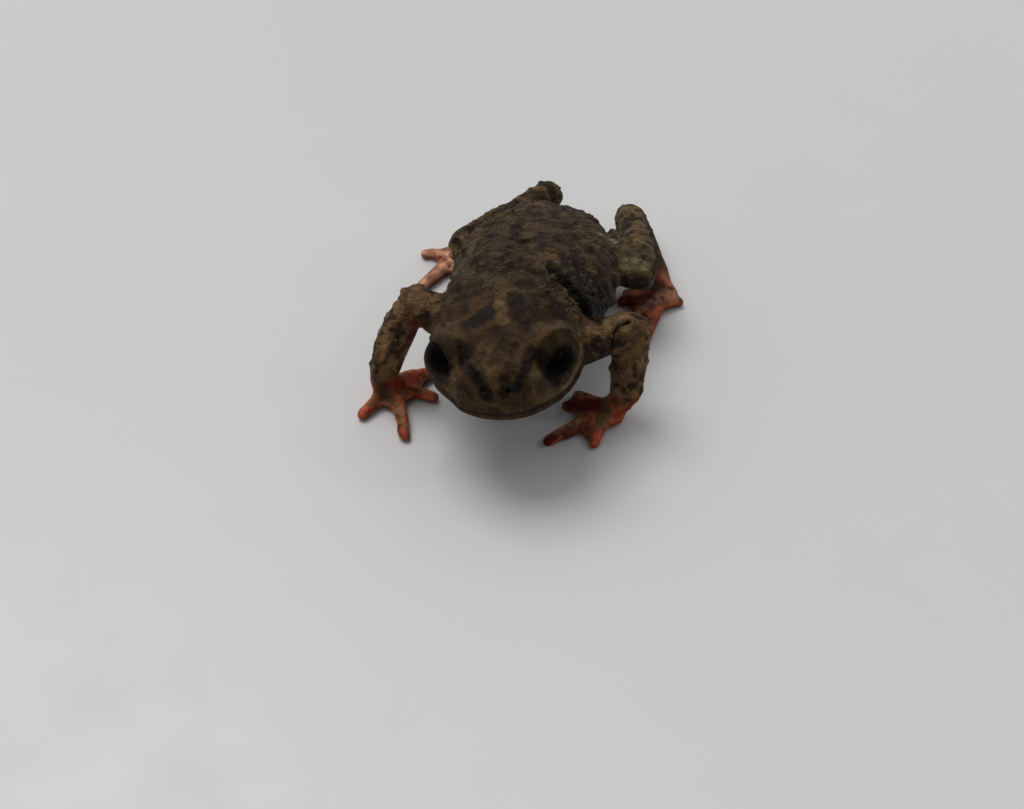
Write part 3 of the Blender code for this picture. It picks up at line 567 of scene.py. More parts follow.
# Strokes of colour, some of them painted shade and a few painted highlights: name, colour, half width in
# millimetres, strength, pixels
STROKES = (
    ("spot before the far eye", DARK_RED_BROWN, 0.32, 1.0, ((459, 346), (467, 350), (461, 361))),
    ("spot before the near eye", DARK_RED_BROWN, 0.34, 1.0, ((531, 353), (543, 357), (545, 367))),
    ("bar on the far snout", INK, 0.26, 0.95, ((471, 368), (480, 383), (488, 396))),
    ("bar on the snout's middle", INK, 0.24, 0.9, ((504, 380), (505, 393))),
    ("bar on the near snout", INK, 0.24, 0.9, ((527, 366), (521, 378), (516, 390))),
    ("blotch of the far nape", UMBER, 0.34, 1.0, ((494, 306), (482, 318), (468, 325))),
    ("blotch of the middle nape", UMBER, 0.31, 1.0, ((518, 300), (520, 318), (532, 326))),
    ("blotch of the near nape", UMBER, 0.30, 1.0, ((551, 306), (558, 315))),
    ("band over the crown", UMBER, 0.14, 0.5, ((470, 338), (488, 330), (510, 326), (528, 330))),
    ("light midline", OCHRE, 0.26, 0.65, ((502, 292), (500, 306), (503, 320))),
    ("light band of the far crown", OLIVE, 0.30, 0.6, ((436, 330), (452, 324), (458, 334))),
    ("light band of the near crown", OLIVE, 0.36, 0.7, ((540, 326), (562, 326), (578, 330))),
    ("light line of the snout", OLIVE, 0.10, 0.6, ((474, 364), (490, 378))),
    ("light line of the crown", OLIVE, 0.12, 0.6, ((498, 340), (489, 350))),
    ("near side of the nape", OLIVE, 0.40, 0.7, ((566, 300), (576, 316), (577, 334))),
    ("fold of the nape", OLIVE, 0.22, 0.5, ((508, 289), (540, 291))),
    ("near lip", OCHRE, 0.24, 0.85, ((583, 345), (579, 364), (568, 385), (557, 394))),
    ("near cheek", OLIVE, 0.36, 0.8, ((536, 378), (546, 390), (556, 388))),
    ("corner of the near eye", INK, 0.20, 1.0, ((542, 365), (549, 373), (558, 383))),
    ("corner of the far eye", INK, 0.14, 1.0, ((451, 366), (447, 373))),
    ("far lip", BROWN, 0.2, 0.5, ((440, 385), (452, 398), (470, 408))),
    # Painted highlight: a thin pale blue-grey line of reflected light along the far lid
    ("painted highlight on the far lid's rim", PAINTED_LID_HIGHLIGHT, 0.04, 0.5, ((434, 341), (441, 349), (448, 360))),
    # The flank's dark band is partly the skin's own dark colour and partly painted shade; the two wet
    # hollows are painted near-black as painted shade
    ("flank", UMBER, 0.66, 0.85, ((572, 266), (586, 284), (602, 304))),
    ("painted shade in the wet hollow of the flank", INK, 0.30, 0.95,
     ((551, 271), (563, 281), (577, 296), (590, 312), (601, 319))),
    ("painted shade in the wet hollow by the elbow", INK, 0.52, 0.95, ((588, 300), (595, 308), (606, 314))),
    ("swell of the flank", BROWN, 0.20, 0.6, ((594, 256), (600, 270), (606, 284), (611, 298))),
    # Grey lumps in the hollow: grey skin, partly a painted highlight where their wet tops catch light
    ("first lump of the hollow", SLATE_AND_SHEEN, 0.09, 0.8, ((574, 279), (578, 284))),
    ("second lump of the hollow", SLATE_AND_SHEEN, 0.09, 0.7, ((582, 276), (585, 281))),
    ("third lump of the hollow", SLATE_AND_SHEEN, 0.08, 0.8, ((590, 287), (591, 291))),
    ("fourth lump of the hollow", SLATE_AND_SHEEN, 0.08, 0.8, ((588, 297), (592, 301))),
    # Painted shade: a near-black line along the groove beside the swell
    ("painted shade in the groove beside the swell", INK, 0.06, 0.8, ((596, 266), (604, 284), (609, 300))),
    # Light ridges of the flank: partly a painted highlight along their wet crests
    ("flank's first light ridge", SLATE_AND_SHEEN, 0.05, 0.8, ((609, 270), (613, 279))),
    ("flank's second light ridge", SLATE_AND_SHEEN, 0.05, 0.8, ((615, 286), (619, 298), (621, 306))),
    ("shoulder's light patch", OLIVE, 0.34, 0.6, ((562, 230), (584, 234), (600, 230))),
    ("light patch of the back", OCHRE, 0.20, 0.5, ((549, 252), (556, 260))),
    # Painted shade in the crease across the back
    ("painted shade of the back's crease", INK, 0.12, 0.7, ((512, 240), (526, 242))),
    ("dark band of the back", UMBER, 0.30, 0.5, ((470, 262), (500, 270), (530, 262))),
    ("dark band of the rump", UMBER, 0.30, 0.5, ((490, 225), (520, 218), (552, 222))),
    # Painted shade below the far knee
    ("far knee", INK, 0.16, 0.8, ((456, 240), (463, 250))),
    ("far calf", UMBER, 0.50, 0.75, ((470, 228), (490, 216), (512, 202), (532, 195))),
    ("far calf's spots", CLAY, 0.18, 0.6, ((482, 218), (498, 206), (516, 197), (528, 200))),
    ("light groin", MOSS, 0.26, 0.6, ((603, 236), (614, 241))),
    ("near thigh", OLIVE, 0.50, 0.7, ((610, 246), (630, 254))),
    ("near knee", MOSS, 0.34, 0.7, ((627, 264), (643, 267))),
    # Painted shade: the dark gap under the near knee
    ("painted shade under the near knee", DARK_RED_BROWN, 0.40, 0.85, ((622, 284), (640, 284), (658, 286))),
    # The red sole, darkened as painted shade under the near leg
    ("near sole in painted shade", CRIMSON, 0.34, 0.9, ((624, 300), (640, 302), (650, 297))),
    ("near heel's bands", OLIVE, 0.10, 0.6, ((628, 230), (640, 227))),
    ("near heel's second band", OLIVE, 0.10, 0.6, ((632, 238), (644, 234))),
    ("near foot", TAN, 0.24, 0.75, ((650, 306), (658, 298), (667, 292))),
    ("specks of the near foot", INK, 0.06, 0.8, ((655, 299), (656, 300))),
    ("more specks of the near foot", INK, 0.05, 0.8, ((662, 296), (663, 298))),
    ("far tarsus", PEACH, 0.24, 0.8, ((424, 284), (434, 276), (446, 266), (452, 260))),
    ("far toes", PEACH, 0.18, 0.8, ((423, 253), (436, 252), (450, 254))),
    ("first speck of the far tarsus", UMBER, 0.07, 0.8, ((430, 277), (432, 280))),
    ("second speck of the far tarsus", UMBER, 0.07, 0.8, ((438, 269), (441, 273))),
    ("third speck of the far tarsus", UMBER, 0.07, 0.8, ((446, 261), (449, 266))),
    ("far elbow", OCHRE, 0.34, 0.75, ((412, 296), (428, 300), (438, 306))),
    ("far arm's blotches", UMBER, 0.16, 0.8, ((400, 322), (398, 338), (390, 352), (385, 362))),
    ("inside of the far forearm", BRICK, 0.30, 0.8, ((420, 322), (412, 338), (404, 350))),
    ("back of the far hand", BROWN, 0.36, 0.75, ((376, 380), (384, 390), (390, 398))),
    ("web of the far hand", RED, 0.30, 0.75, ((392, 382), (404, 385), (416, 378))),
    ("far third finger", CLAY, 0.16, 0.8, ((390, 400), (396, 411), (401, 422))),
    ("first speck of the finger", INK, 0.07, 0.8, ((395, 416), (398, 418))),
    ("second speck of the finger", INK, 0.07, 0.8, ((398, 426), (401, 429))),
    ("far outer finger", CLAY, 0.15, 0.8, ((378, 396), (370, 405))),
    ("tip of the far outer finger", CORAL, 0.16, 0.8, ((365, 411), (362, 415))),
    ("tip of the far third finger", CORAL, 0.16, 0.8, ((403, 430), (405, 435))),
    ("tip of the far second finger", CORAL, 0.15, 0.7, ((429, 394), (435, 396))),
    ("tip of the far thumb", CORAL, 0.15, 0.7, ((422, 370), (427, 373))),
    ("near upper arm", OCHRE, 0.30, 0.8, ((590, 330), (604, 328), (626, 318))),
    ("top of the near forearm", OCHRE, 0.40, 0.7, ((628, 332), (638, 340), (638, 352))),
    # Painted shade in the near elbow's fold
    ("painted shade in the near elbow's fold", INK, 0.08, 0.85, ((612, 346), (614, 334), (620, 326), (629, 322))),
    ("shade of the near upper arm", UMBER, 0.18, 0.8, ((594, 348), (602, 345), (609, 340))),
    # Painted shade behind the near jaw
    ("painted shade behind the near jaw", DARK_RED_BROWN, 0.24, 0.8, ((586, 348), (590, 366))),
    ("edge of the near wrist", RED, 0.22, 0.8, ((640, 398), (628, 410), (618, 414))),
    # The red thumb, darkened as painted shade
    ("near thumb in painted shade", CRIMSON, 0.40, 0.95, ((572, 402), (590, 406), (602, 404))),
    ("near hand's back", CLAY, 0.32, 0.8, ((606, 402), (606, 412), (600, 420))),
    ("near third finger", BRICK, 0.22, 0.85, ((588, 426), (566, 434))),
    ("tip of the near third finger", CRIMSON, 0.22, 0.95, ((554, 438), (547, 442))),
    ("tip of the near outer finger", CORAL, 0.18, 0.8, ((595, 434), (594, 441))),
)
STROKE_EDGE = (0.55, 1.40)

tree = skin.tree()
points = skin.points
normals = skin.normals()
wobble = 0.10 * waves(points, 0.45, 22) + 0.06 * waves(points, 0.2, 23)
broad = waves(points, 1.6, 24)
medium = waves(points, 0.7, 25)
fine = waves(points, 0.32, 26)
topside = fade(normals[:, 2], 0.75, 0.35)
downward = fade(normals[:, 2], -0.55, 0.05)
tint = np.tile(np.array(BROWN), (skin.count, 1))


def paint(colour, weight):
    """Lay a colour over the tint so far."""
    weight = np.clip(weight, 0.0, 1.0)[:, None]
    tint[:] += weight * (np.array(colour) - tint)


# Back and head, arms, and legs
paint(OLIVE, 0.8 * fade(broad + 0.6 * medium, 0.4, -0.2) * (part["torso"] + part["head"]))
paint(UMBER, 0.85 * fade(medium + 0.5 * fine, -0.45, -0.05) * (part["torso"] + 0.35 * part["head"]))
paint(CLAY, 0.7 * arms)
paint(OCHRE, 0.65 * arms * fade(medium + 0.4 * broad, 0.4, -0.2))
paint(UMBER, 0.9 * arms * fade(medium + 0.9 * fine, -0.32, -0.10))
paint(OLIVE, 0.7 * legs * fade(broad + medium, 0.4, -0.4))
paint(CLAY, 0.5 * part["shanks"] * fade(fine + medium, 0.4, -0.1))
paint(UMBER, 0.9 * legs * fade(medium + 0.8 * fine, -0.4, -0.12))

# Hands and feet, and the red that runs up from them
paint(ORANGE, 0.95 * digits)
paint(RED, 0.85 * digits * (1 - topside) * fade(medium, -0.6, -0.1))
paint(TAN, 0.75 * digits * topside * fade(medium + 0.5 * fine, 0.1, -0.3))
paint(UMBER, 0.75 * digits * topside * fade(fine + 0.4 * waves(points, 0.16, 27), -0.5, -0.25))
paint(RED, 0.8 * (part["forearms"] + part["tarsi"]) * fade(points[:, 2], 0.7, 1.5) * (1 - 0.8 * topside))

# Tones of the parts, then the belly and the undersides
for name, tone in TONES.items():
    tint *= 1 + part[name][:, None] * (np.array(tone) - 1)
behind = part["head"] * fade(forward, 0.2, 1.1)
tint *= 1 + behind[:, None] * (np.array(CROWN_TONE) - 1)
paint(UMBER, 0.9 * downward * (part["torso"] + part["head"]))
paint(PALE, 0.5 * downward * part["torso"] * fade(fine, 0.75, 0.45))
paint(RED, 0.75 * downward * (digits + 0.5 * (part["thighs"] + part["shanks"])))

# Strokes, then painted shade in the mouth's groove and the nostril pits, paler tops of warts, and dark rims
# of the eyes
for _, colour, width, strength, pixels in STROKES:
    away = distance_to_places(points, traced(tree, pixels)) + wobble
    paint(colour, strength * fade(away, STROKE_EDGE[0] * width, STROKE_EDGE[1] * width))
# Painted shade: the mouth's groove and the nostril pits are painted dark
paint(UMBER, 0.7 * mouth)
paint(INK, nostril)
paint(OCHRE, 0.35 * wart * (part["torso"] + arms + legs) * fade(fine, 0.3, -0.4))
rim = fade(eye_distance, 1.08, 1.22) * fade(part["head"], 0.8, 0.5)
paint(INK, 0.8 * rim)

# How wet each point is, how thick the grains stand on it, and how pebbled it is
WET_FLANK = ((560, 262), (580, 282), (594, 300), (604, 312))
wet = 0.1 + 0.55 * fade(medium, 0.6, 0.2) * (1 - part["head"])
wet = np.maximum(wet, 0.42 * fade(distance_to_places(points, traced(tree, WET_FLANK)), 0.3, 0.8))
grainy = rough * fade(normals[:, 2], -0.1, -0.6) * (1 - rim) * (1 - 0.6 * arms)
grainy *= np.clip(0.10 + 1.2 * wart, 0, 1)
pebbled = np.clip(0.25 + 0.75 * rough + 0.35 * wart, 0, 1) * (1 - 0.8 * digits) * (1 - rim)


def store(mesh, name, values):
    """Keep a number or a colour for each point of a mesh."""
    if values.ndim == 2:
        layer = mesh.attributes.new(name, "FLOAT_COLOR", "POINT")
        full = np.ones((len(values), 4), np.float32)
        full[:, :3] = values
        layer.data.foreach_set("color", full.ravel())
    else:
        layer = mesh.attributes.new(name, "FLOAT", "POINT")
        layer.data.foreach_set("value", values.astype(np.float32))


store(skin.mesh, "tint", tint)
store(skin.mesh, "wet", wet)
store(skin.mesh, "grainy", grainy)
store(skin.mesh, "pebbled", pebbled)


# Finishes: sizes and depths in millimetres

MOTTLE_SIZE = 0.55
PEBBLE_SIZE = 0.115
PEBBLE_DEPTH = 0.030
CREASE_SIZE = 0.42
CREASE_DEPTH = 0.045
PORE_SIZE = 0.23
FLECK_AND_GLINT_SIZE = 0.60
LUMP_SIZE = 0.24
LUMP_DEPTH = 0.080
GRIT_SIZE = 0.05
GRIT_DEPTH = 0.012
BLOOD_REACH = 0.15


class Finish:
    """A material in the making: adds nodes and links them."""

    def __init__(self, name):
        self.material = bpy.data.materials.new(name)
        self.material.use_nodes = True
        self.nodes = self.material.node_tree.nodes
        self.links = self.material.node_tree.links
        self.shader = self.nodes["Principled BSDF"]
        self.place = self.nodes.new("ShaderNodeTexCoord").outputs["Object"]

    def link(self, value, socket):
        """Set a socket to a number, a colour, or another socket."""
        if isinstance(value, bpy.types.NodeSocket):
            self.links.new(value, socket)
        else:
            socket.default_value = value

    def noise(self, size, detail=3.0, roughness=0.55, distortion=0.0):
        """Noise with features of a size in millimetres."""
        node = self.nodes.new("ShaderNodeTexNoise")
        self.links.new(self.place, node.inputs["Vector"])
        node.inputs["Scale"].default_value = 1 / (size * MM)
        node.inputs["Detail"].default_value = detail
        node.inputs["Roughness"].default_value = roughness
        node.inputs["Distortion"].default_value = distortion
        return node.outputs["Fac"]

    def cells(self, size, feature="F1", smoothness=None):
        """Distance from the middle of cells of a size in millimetres."""
        node = self.nodes.new("ShaderNodeTexVoronoi")
        node.feature = feature
        self.links.new(self.place, node.inputs["Vector"])
        node.inputs["Scale"].default_value = 1 / (size * MM)
        if smoothness is not None:
            node.inputs["Smoothness"].default_value = smoothness
        return node.outputs["Distance"]

    def attribute(self, name, output="Fac"):
        """A number or a colour that the mesh keeps for each point."""
        node = self.nodes.new("ShaderNodeAttribute")
        node.attribute_name = name
        return node.outputs[output]

    def maths(self, operation, a, b=0.0, c=0.0):
        """The result of a sum on up to three numbers."""
        node = self.nodes.new("ShaderNodeMath")
        node.operation = operation
        for value, socket in zip((a, b, c), node.inputs):
            self.link(value, socket)
        return node.outputs[0]

    def span(self, value, low, high, to_low=0.0, to_high=1.0):
        """A value carried smoothly from one span to another."""
        node = self.nodes.new("ShaderNodeMapRange")
        node.interpolation_type = "SMOOTHSTEP"
        for number, socket in zip((value, low, high, to_low, to_high), node.inputs):
            self.link(number, socket)
        return node.outputs[0]

    def mix(self, share, a, b, blend="MIX"):
        """Two colours mixed, the second by its share."""
        node = self.nodes.new("ShaderNodeMix")
        node.data_type = "RGBA"
        node.blend_type = blend
        self.link(share, node.inputs[0])
        for value, socket in ((a, node.inputs[6]), (b, node.inputs[7])):
            self.link((*value, 1.0) if isinstance(value, tuple) else value, socket)
        return node.outputs[2]

    def bump(self, height, depth, strength=1.0, under=None):
        """A bump of a depth in millimetres, over another."""
        node = self.nodes.new("ShaderNodeBump")
        node.inputs["Strength"].default_value = strength
        node.inputs["Distance"].default_value = depth * MM
        self.links.new(height, node.inputs["Height"])
        if under is not None:
            self.links.new(under, node.inputs["Normal"])
        return node.outputs["Normal"]


def skin_finish(name):
    """Living skin: the painted tint, broken by mottling, pale flecks that are partly painted glints, dark
    pores and painted shade in creases; pebbled, with painted light on the pebbles' tops and shade between
    them, and damp.
    """
    finish = Finish(name)
    tint_colour = finish.attribute("tint", "Color")
    damp = finish.attribute("wet")
    pebbled = finish.attribute("pebbled")
    mottle = finish.noise(MOTTLE_SIZE, 4.0, 0.60, 0.6)
    shade = finish.mix(finish.span(mottle, 0.36, 0.64), (0.58, 0.55, 0.52), (1.26, 1.23, 1.18))
    colour = finish.mix(1.0, tint_colour, shade, "MULTIPLY")
    # Pebble tops are painted lighter and the gaps between them darker: painted light and shade that follow
    # the pebbles' bump
    pebbles = finish.cells(PEBBLE_SIZE, "SMOOTH_F1", 0.35)
    tops = finish.span(pebbles, 0.55, 0.10)
    shade = finish.mix(tops, (0.74, 0.72, 0.70), (1.24, 1.22, 1.18))
    colour = finish.mix(pebbled, colour, finish.mix(1.0, colour, shade, "MULTIPLY"))
    # Crease lines are painted near-black: painted shade in the creases
    folds = finish.noise(CREASE_SIZE, 2.0, 0.5, 0.3)
    creases = finish.maths("ABSOLUTE", finish.maths("SUBTRACT", folds, 0.5))
    creases = finish.maths("MULTIPLY", finish.span(creases, 0.06, 0.0), pebbled)
    colour = finish.mix(finish.maths("MULTIPLY", creases, 0.16), colour, INK)
    pores = finish.span(finish.cells(PORE_SIZE), 0.12, 0.03)
    colour = finish.mix(finish.maths("MULTIPLY", pores, 0.7), colour, INK)
    # Pale flecks here and there: partly pale specks of the skin, partly painted glints of wet skin
    pale_flecks_and_glints = finish.span(finish.cells(FLECK_AND_GLINT_SIZE), 0.10, 0.05)
    some = finish.span(finish.noise(0.9, 1.0), 0.52, 0.60)
    pale_flecks_and_glints = finish.maths("MULTIPLY", pale_flecks_and_glints, some)
    colour = finish.mix(finish.maths("MULTIPLY", pale_flecks_and_glints, 0.5), colour, PALE)
    finish.links.new(colour, finish.shader.inputs["Base Color"])
    grit = finish.noise(GRIT_SIZE, 3.0, 0.6)
    roughness = finish.span(grit, 0.3, 0.7, 0.50, 0.74)
    roughness = finish.maths("SUBTRACT", roughness, finish.maths("MULTIPLY", damp, 0.25))
    finish.links.new(roughness, finish.shader.inputs["Roughness"])
    lumps = finish.noise(LUMP_SIZE, 3.0, 0.6)
    normal = finish.bump(lumps, LUMP_DEPTH, 0.7)
    normal = finish.bump(creases, -CREASE_DEPTH, 0.7, normal)
    normal = finish.bump(finish.maths("MULTIPLY", tops, pebbled), PEBBLE_DEPTH, 0.8, normal)
    normal = finish.bump(grit, GRIT_DEPTH, 0.7, normal)
    finish.links.new(normal, finish.shader.inputs["Normal"])
    finish.shader.inputs["Specular IOR Level"].default_value = 0.10
    finish.links.new(finish.span(damp, 0.35, 0.95, 0.0, 0.22), finish.shader.inputs["Coat Weight"])
    finish.links.new(normal, finish.shader.inputs["Coat Normal"])
    finish.shader.inputs["Coat Roughness"].default_value = 0.12
    finish.shader.inputs["Subsurface Weight"].default_value = 0.06
    finish.shader.inputs["Subsurface Radius"].default_value = (1.0, 0.30, 0.15)
    finish.shader.inputs["Subsurface Scale"].default_value = BLOOD_REACH * MM
    return finish.material


PUPIL_LENGTH = 0.50
PUPIL_HEIGHT = 0.34
PUPIL_COLOUR = (0.0015, 0.0015, 0.002)
RING_DARK = (0.001, 0.001, 0.001)
RING_BRONZE = (0.007, 0.004, 0.002)


def eye_finish(name, centre, side):
    """A black eye under a clear wet coat: a wide pupil in a ring of very dark bronze."""
    finish = Finish(name)
    looks, run, rise = eye_axes(side)
    shift = finish.nodes.new("ShaderNodeVectorMath")
    shift.operation = "SUBTRACT"
    finish.links.new(finish.place, shift.inputs[0])
    shift.inputs[1].default_value = centre * MM
    aims = []
    for axis in (run, rise):
        dot = finish.nodes.new("ShaderNodeVectorMath")
        dot.operation = "DOT_PRODUCT"
        finish.links.new(shift.outputs[0], dot.inputs[0])
        dot.inputs[1].default_value = axis / (EYE_RADIUS * MM)
        aims.append(dot.outputs["Value"])
    squares = []
    for aim, half in zip(aims, (PUPIL_LENGTH, PUPIL_HEIGHT)):
        share = finish.maths("DIVIDE", finish.maths("ABSOLUTE", aim), half)
        squares.append(finish.maths("POWER", share, 2.0))
    ring = finish.span(finish.maths("ADD", *squares), 0.9, 1.25)
    rays = finish.span(finish.noise(0.12, 4.0, 0.7, 1.0), 0.4, 0.7)
    iris = finish.mix(rays, RING_DARK, RING_BRONZE)
    colour = finish.mix(ring, PUPIL_COLOUR, iris)
    finish.links.new(colour, finish.shader.inputs["Base Color"])
    film = finish.noise(0.3, 2.0, 0.5)
    finish.links.new(finish.span(film, 0.3, 0.7, 0.03, 0.09), finish.shader.inputs["Roughness"])
    finish.links.new(finish.bump(film, 0.01, 0.3), finish.shader.inputs["Normal"])
    finish.shader.inputs["Specular IOR Level"].default_value = 0.0
    finish.shader.inputs["Coat Weight"].default_value = 0.06
    finish.shader.inputs["Coat Roughness"].default_value = 0.05
    return finish.material


# Pieces

def piece(mesh, name, finish, slot, *nodes):
    """Set a mesh made in millimetres into the scene as a finished piece of the animal."""
    mesh.transform(Matrix.Scale(MM, 4))
    if not mesh.materials:
        mesh.materials.append(finish)
    mesh.shade_smooth()
    thing = bpy.data.objects.new(name, mesh)
    bpy.context.scene.collection.objects.link(thing)
    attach(thing, "root")
    if nodes:
        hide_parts(*nodes)
    return thing


def make_eye(name, centre, side):
    """One eyeball, a little fuller in front as a cornea is."""
    bm = bmesh.new()
    bmesh.ops.create_icosphere(bm, subdivisions=EYE_DETAIL, radius=EYE_RADIUS)
    looks = eye_axes(side)[0]
    for vert in bm.verts:
        front = vert.co.normalized().dot(looks)
        vert.co *= 1.0 + CORNEA_SWELL * max(front, 0.0) ** 3
        vert.co += centre
    mesh = bpy.data.meshes.new(name)
    bm.to_mesh(mesh)
    bm.free()
    return piece(mesh, "wet_" + name, eye_finish("wet_black_" + name, centre, side), "eye_gloss", name)


# Horny grains over the warts

GRAIN_SPACING = 0.10
GRAIN_CLOSENESS = 34.0
GRAIN_RADIUS = 0.036
GRAIN_SCALES = (0.50, 1.50)
GRAIN_SEGMENTS = 8
GRAIN_RINGS = 4
GRAIN_SEED = 4
HORN_LIFT = (1.45, 1.38, 1.30)
WORN_HORN = (0.16, 0.115, 0.065)


def grain_finish(name):
    """Horn a little paler than the skin it sits in, worn smooth on top."""
    finish = Finish(name)
    wear = finish.span(finish.noise(0.7, 2.0), 0.35, 0.65)
    paler = finish.mix(1.0, finish.attribute("tint", "Color"), HORN_LIFT, "MULTIPLY")
    colour = finish.mix(finish.maths("MULTIPLY", wear, 0.22), paler, WORN_HORN)
    finish.links.new(colour, finish.shader.inputs["Base Color"])
    grit = finish.noise(0.03, 2.0, 0.6)
    finish.links.new(finish.span(grit, 0.3, 0.7, 0.36, 0.60), finish.shader.inputs["Roughness"])
    finish.links.new(finish.bump(grit, 0.006, 0.6), finish.shader.inputs["Normal"])
    finish.shader.inputs["Specular IOR Level"].default_value = 0.20
    finish.shader.inputs["Coat Weight"].default_value = 0.20
    finish.shader.inputs["Coat Roughness"].default_value = 0.12
    return finish.material


def grain_tree(finish):
    """A tree that sets grains over a skin, closer together where it is rougher."""
    tree = bpy.data.node_groups.new("horny_grains", "GeometryNodeTree")
    tree.interface.new_socket("Skin", in_out="INPUT", socket_type="NodeSocketGeometry")
    for name in ("Spacing", "Closeness", "Grain Radius"):
        tree.interface.new_socket(name, in_out="INPUT", socket_type="NodeSocketFloat")
    tree.interface.new_socket("Seed", in_out="INPUT", socket_type="NodeSocketInt")
    tree.interface.new_socket("Grains", in_out="OUTPUT", socket_type="NodeSocketGeometry")
    given = tree.nodes.new("NodeGroupInput").outputs
    spots = tree.nodes.new("GeometryNodeDistributePointsOnFaces")
    spots.distribute_method = "POISSON"
    roughness = tree.nodes.new("GeometryNodeInputNamedAttribute")
    roughness.data_type = "FLOAT"
    roughness.inputs["Name"].default_value = "grainy"
    grain = tree.nodes.new("GeometryNodeMeshUVSphere")
    grain.inputs["Segments"].default_value = GRAIN_SEGMENTS
    grain.inputs["Rings"].default_value = GRAIN_RINGS
    size = tree.nodes.new("FunctionNodeRandomValue")
    size.data_type = "FLOAT"
    size.inputs[2].default_value = GRAIN_SCALES[0]
    size.inputs[3].default_value = GRAIN_SCALES[1]
    planted = tree.nodes.new("GeometryNodeInstanceOnPoints")
    real = tree.nodes.new("GeometryNodeRealizeInstances")
    coloured = tree.nodes.new("GeometryNodeSetMaterial")
    coloured.inputs["Material"].default_value = finish
    result = tree.nodes.new("NodeGroupOutput").inputs
    for start, end in (
        (given["Skin"], spots.inputs["Mesh"]),
        (given["Spacing"], spots.inputs["Distance Min"]),
        (given["Closeness"], spots.inputs["Density Max"]),
        (roughness.outputs["Attribute"], spots.inputs["Density Factor"]),
        (given["Seed"], spots.inputs["Seed"]),
        (given["Seed"], size.inputs["Seed"]),
        (given["Grain Radius"], grain.inputs["Radius"]),
        (spots.outputs["Points"], planted.inputs["Points"]),
        (grain.outputs["Mesh"], planted.inputs["Instance"]),
        (spots.outputs["Rotation"], planted.inputs["Rotation"]),
        (size.outputs[1], planted.inputs["Scale"]),
        (planted.outputs["Instances"], real.inputs["Geometry"]),
        (real.outputs["Geometry"], coloured.inputs["Geometry"]),
        (coloured.outputs["Geometry"], result["Grains"]),
    ):
        tree.links.new(start, end)
    return tree


def set_grains(mesh, finish):
    """A mesh of grains over a skin that is still in millimetres."""
    ground = mesh.copy()
    thing = bpy.data.objects.new("planting", ground)
    bpy.context.scene.collection.objects.link(thing)
    planting = thing.modifiers.new("grains", "NODES")
    planting.node_group = grain_tree(finish)
    sizes = {
        "Spacing": GRAIN_SPACING,
        "Closeness": GRAIN_CLOSENESS,
        "Grain Radius": GRAIN_RADIUS,
        "Seed": GRAIN_SEED,
    }
    for item in planting.node_group.interface.items_tree:
        if item.name in sizes:
            planting[item.identifier] = sizes[item.name]
    bpy.context.view_layer.update()
    evaluated = thing.evaluated_get(bpy.context.evaluated_depsgraph_get())
    grains = bpy.data.meshes.new_from_object(evaluated)
    thing.modifiers.clear()
    bpy.data.objects.remove(thing)
    bpy.data.meshes.remove(ground)
    return grains


warty = skin_finish("warty_skin")
horn = grain_finish("horny_grain")
# The skin's mesh takes its last points before the grains are set on it
skin.normals()
grains = set_grains(skin.mesh, horn)
piece(skin.mesh, "skin", warty, "back_skin", *FLESH)
piece(grains, "grains", horn, "back_skin")
make_eye("eye_left", LEFT_EYE, 1)
make_eye("eye_right", RIGHT_EYE, -1)


# Floor, light and sky, in metres

FLOOR_SIZE = 3.0
FLOOR_DULL = (0.60, 0.605, 0.60)
FLOOR_BRIGHT = (0.68, 0.675, 0.67)
WINDOW = (-0.32, 0.20, 0.80)
WINDOW_SIZE = 0.55
WINDOW_POWER = 3.7
WINDOW_COLOUR = (1.0, 0.985, 0.96)
LAMP = (0.63, 0.09, 0.63)
LAMP_SIZE = 0.04
LAMP_POWER = 0.30
LAMP_COLOUR = (1.0, 0.97, 0.93)
SKY_FROM = (-0.20, 0.55, 0.80)
SKY_COLOUR = (0.96, 0.975, 1.0, 1.0)
SKY_DIM = 0.04
SKY_BRIGHT = 0.64


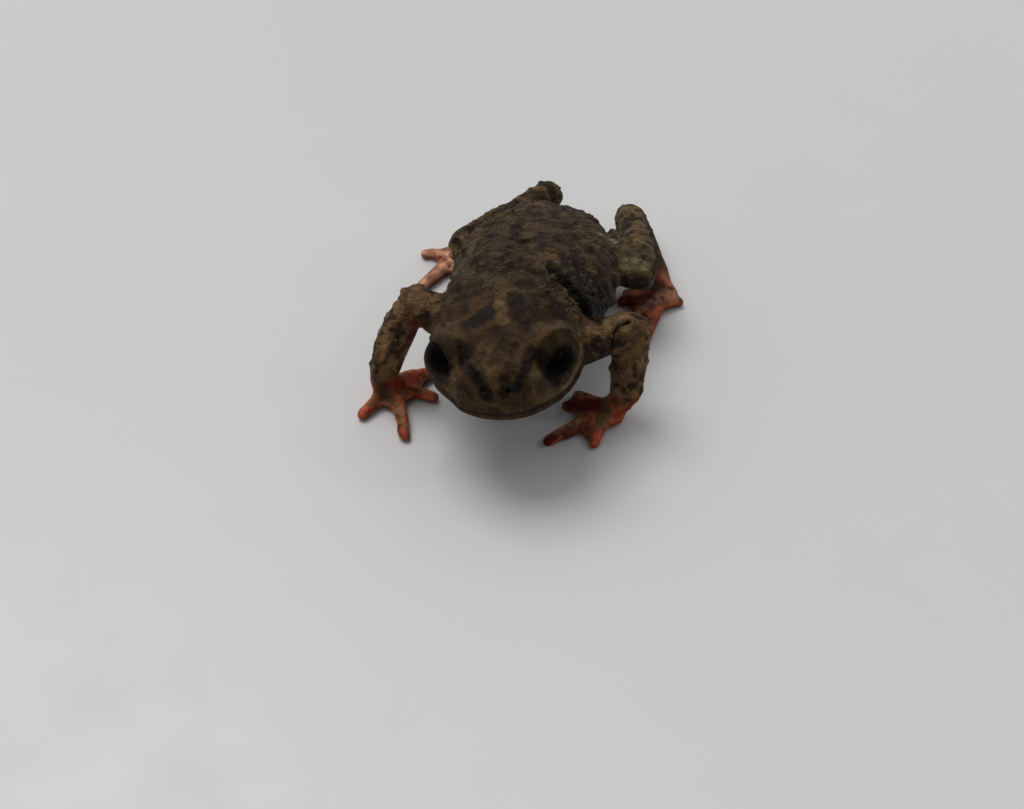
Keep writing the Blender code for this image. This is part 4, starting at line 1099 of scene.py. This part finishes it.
def floor_finish():
    """A pale smooth floor with a faint unevenness."""
    finish = Finish("pale_floor")
    cloud = finish.noise(60.0, 3.0, 0.5)
    colour = finish.mix(cloud, FLOOR_DULL, FLOOR_BRIGHT)
    finish.links.new(colour, finish.shader.inputs["Base Color"])
    scuff = finish.noise(4.0, 4.0, 0.6)
    finish.links.new(finish.span(scuff, 0.3, 0.7, 0.34, 0.48), finish.shader.inputs["Roughness"])
    finish.links.new(finish.bump(scuff, 0.02, 0.2), finish.shader.inputs["Normal"])
    return finish.material


def make_floor():
    """A wide plane that the animal stands on."""
    bpy.ops.mesh.primitive_plane_add(size=FLOOR_SIZE, location=(0, 0, 0))
    floor = bpy.context.object
    floor.name = "floor"
    floor.data.materials.append(floor_finish())


def area_light(name, place, size, power, colour):
    """A round light that faces the animal."""
    data = bpy.data.lights.new(name, "AREA")
    data.shape = "DISK"
    data.size = size
    data.energy = power
    data.color = colour
    lamp = bpy.data.objects.new(name, data)
    bpy.context.scene.collection.objects.link(lamp)
    lamp.location = place
    lamp.rotation_euler = (-Vector(place)).to_track_quat("-Z", "Y").to_euler()


def make_sky():
    """A dim room whose light comes from above and behind the animal."""
    world = bpy.data.worlds.new("sky")
    bpy.context.scene.world = world
    world.use_nodes = True
    nodes = world.node_tree.nodes
    links = world.node_tree.links
    aim = nodes.new("ShaderNodeVectorMath")
    aim.operation = "DOT_PRODUCT"
    links.new(nodes.new("ShaderNodeTexCoord").outputs["Generated"], aim.inputs[0])
    aim.inputs[1].default_value = Vector(SKY_FROM).normalized()
    share = nodes.new("ShaderNodeMapRange")
    share.interpolation_type = "SMOOTHSTEP"
    links.new(aim.outputs["Value"], share.inputs["Value"])
    spans = {"From Min": -0.35, "From Max": 0.95, "To Min": SKY_DIM, "To Max": SKY_BRIGHT}
    for socket, value in spans.items():
        share.inputs[socket].default_value = value
    sky = nodes["Background"]
    sky.inputs["Color"].default_value = SKY_COLOUR
    links.new(share.outputs["Result"], sky.inputs["Strength"])


def make_light():
    """A large soft window high on the left, a small lamp on the right for glints, and a dim room."""
    area_light("window", WINDOW, WINDOW_SIZE, WINDOW_POWER, WINDOW_COLOUR)
    area_light("lamp", LAMP, LAMP_SIZE, LAMP_POWER, LAMP_COLOUR)
    make_sky()
    bpy.context.scene.view_settings.view_transform = "Standard"


make_floor()
make_light()
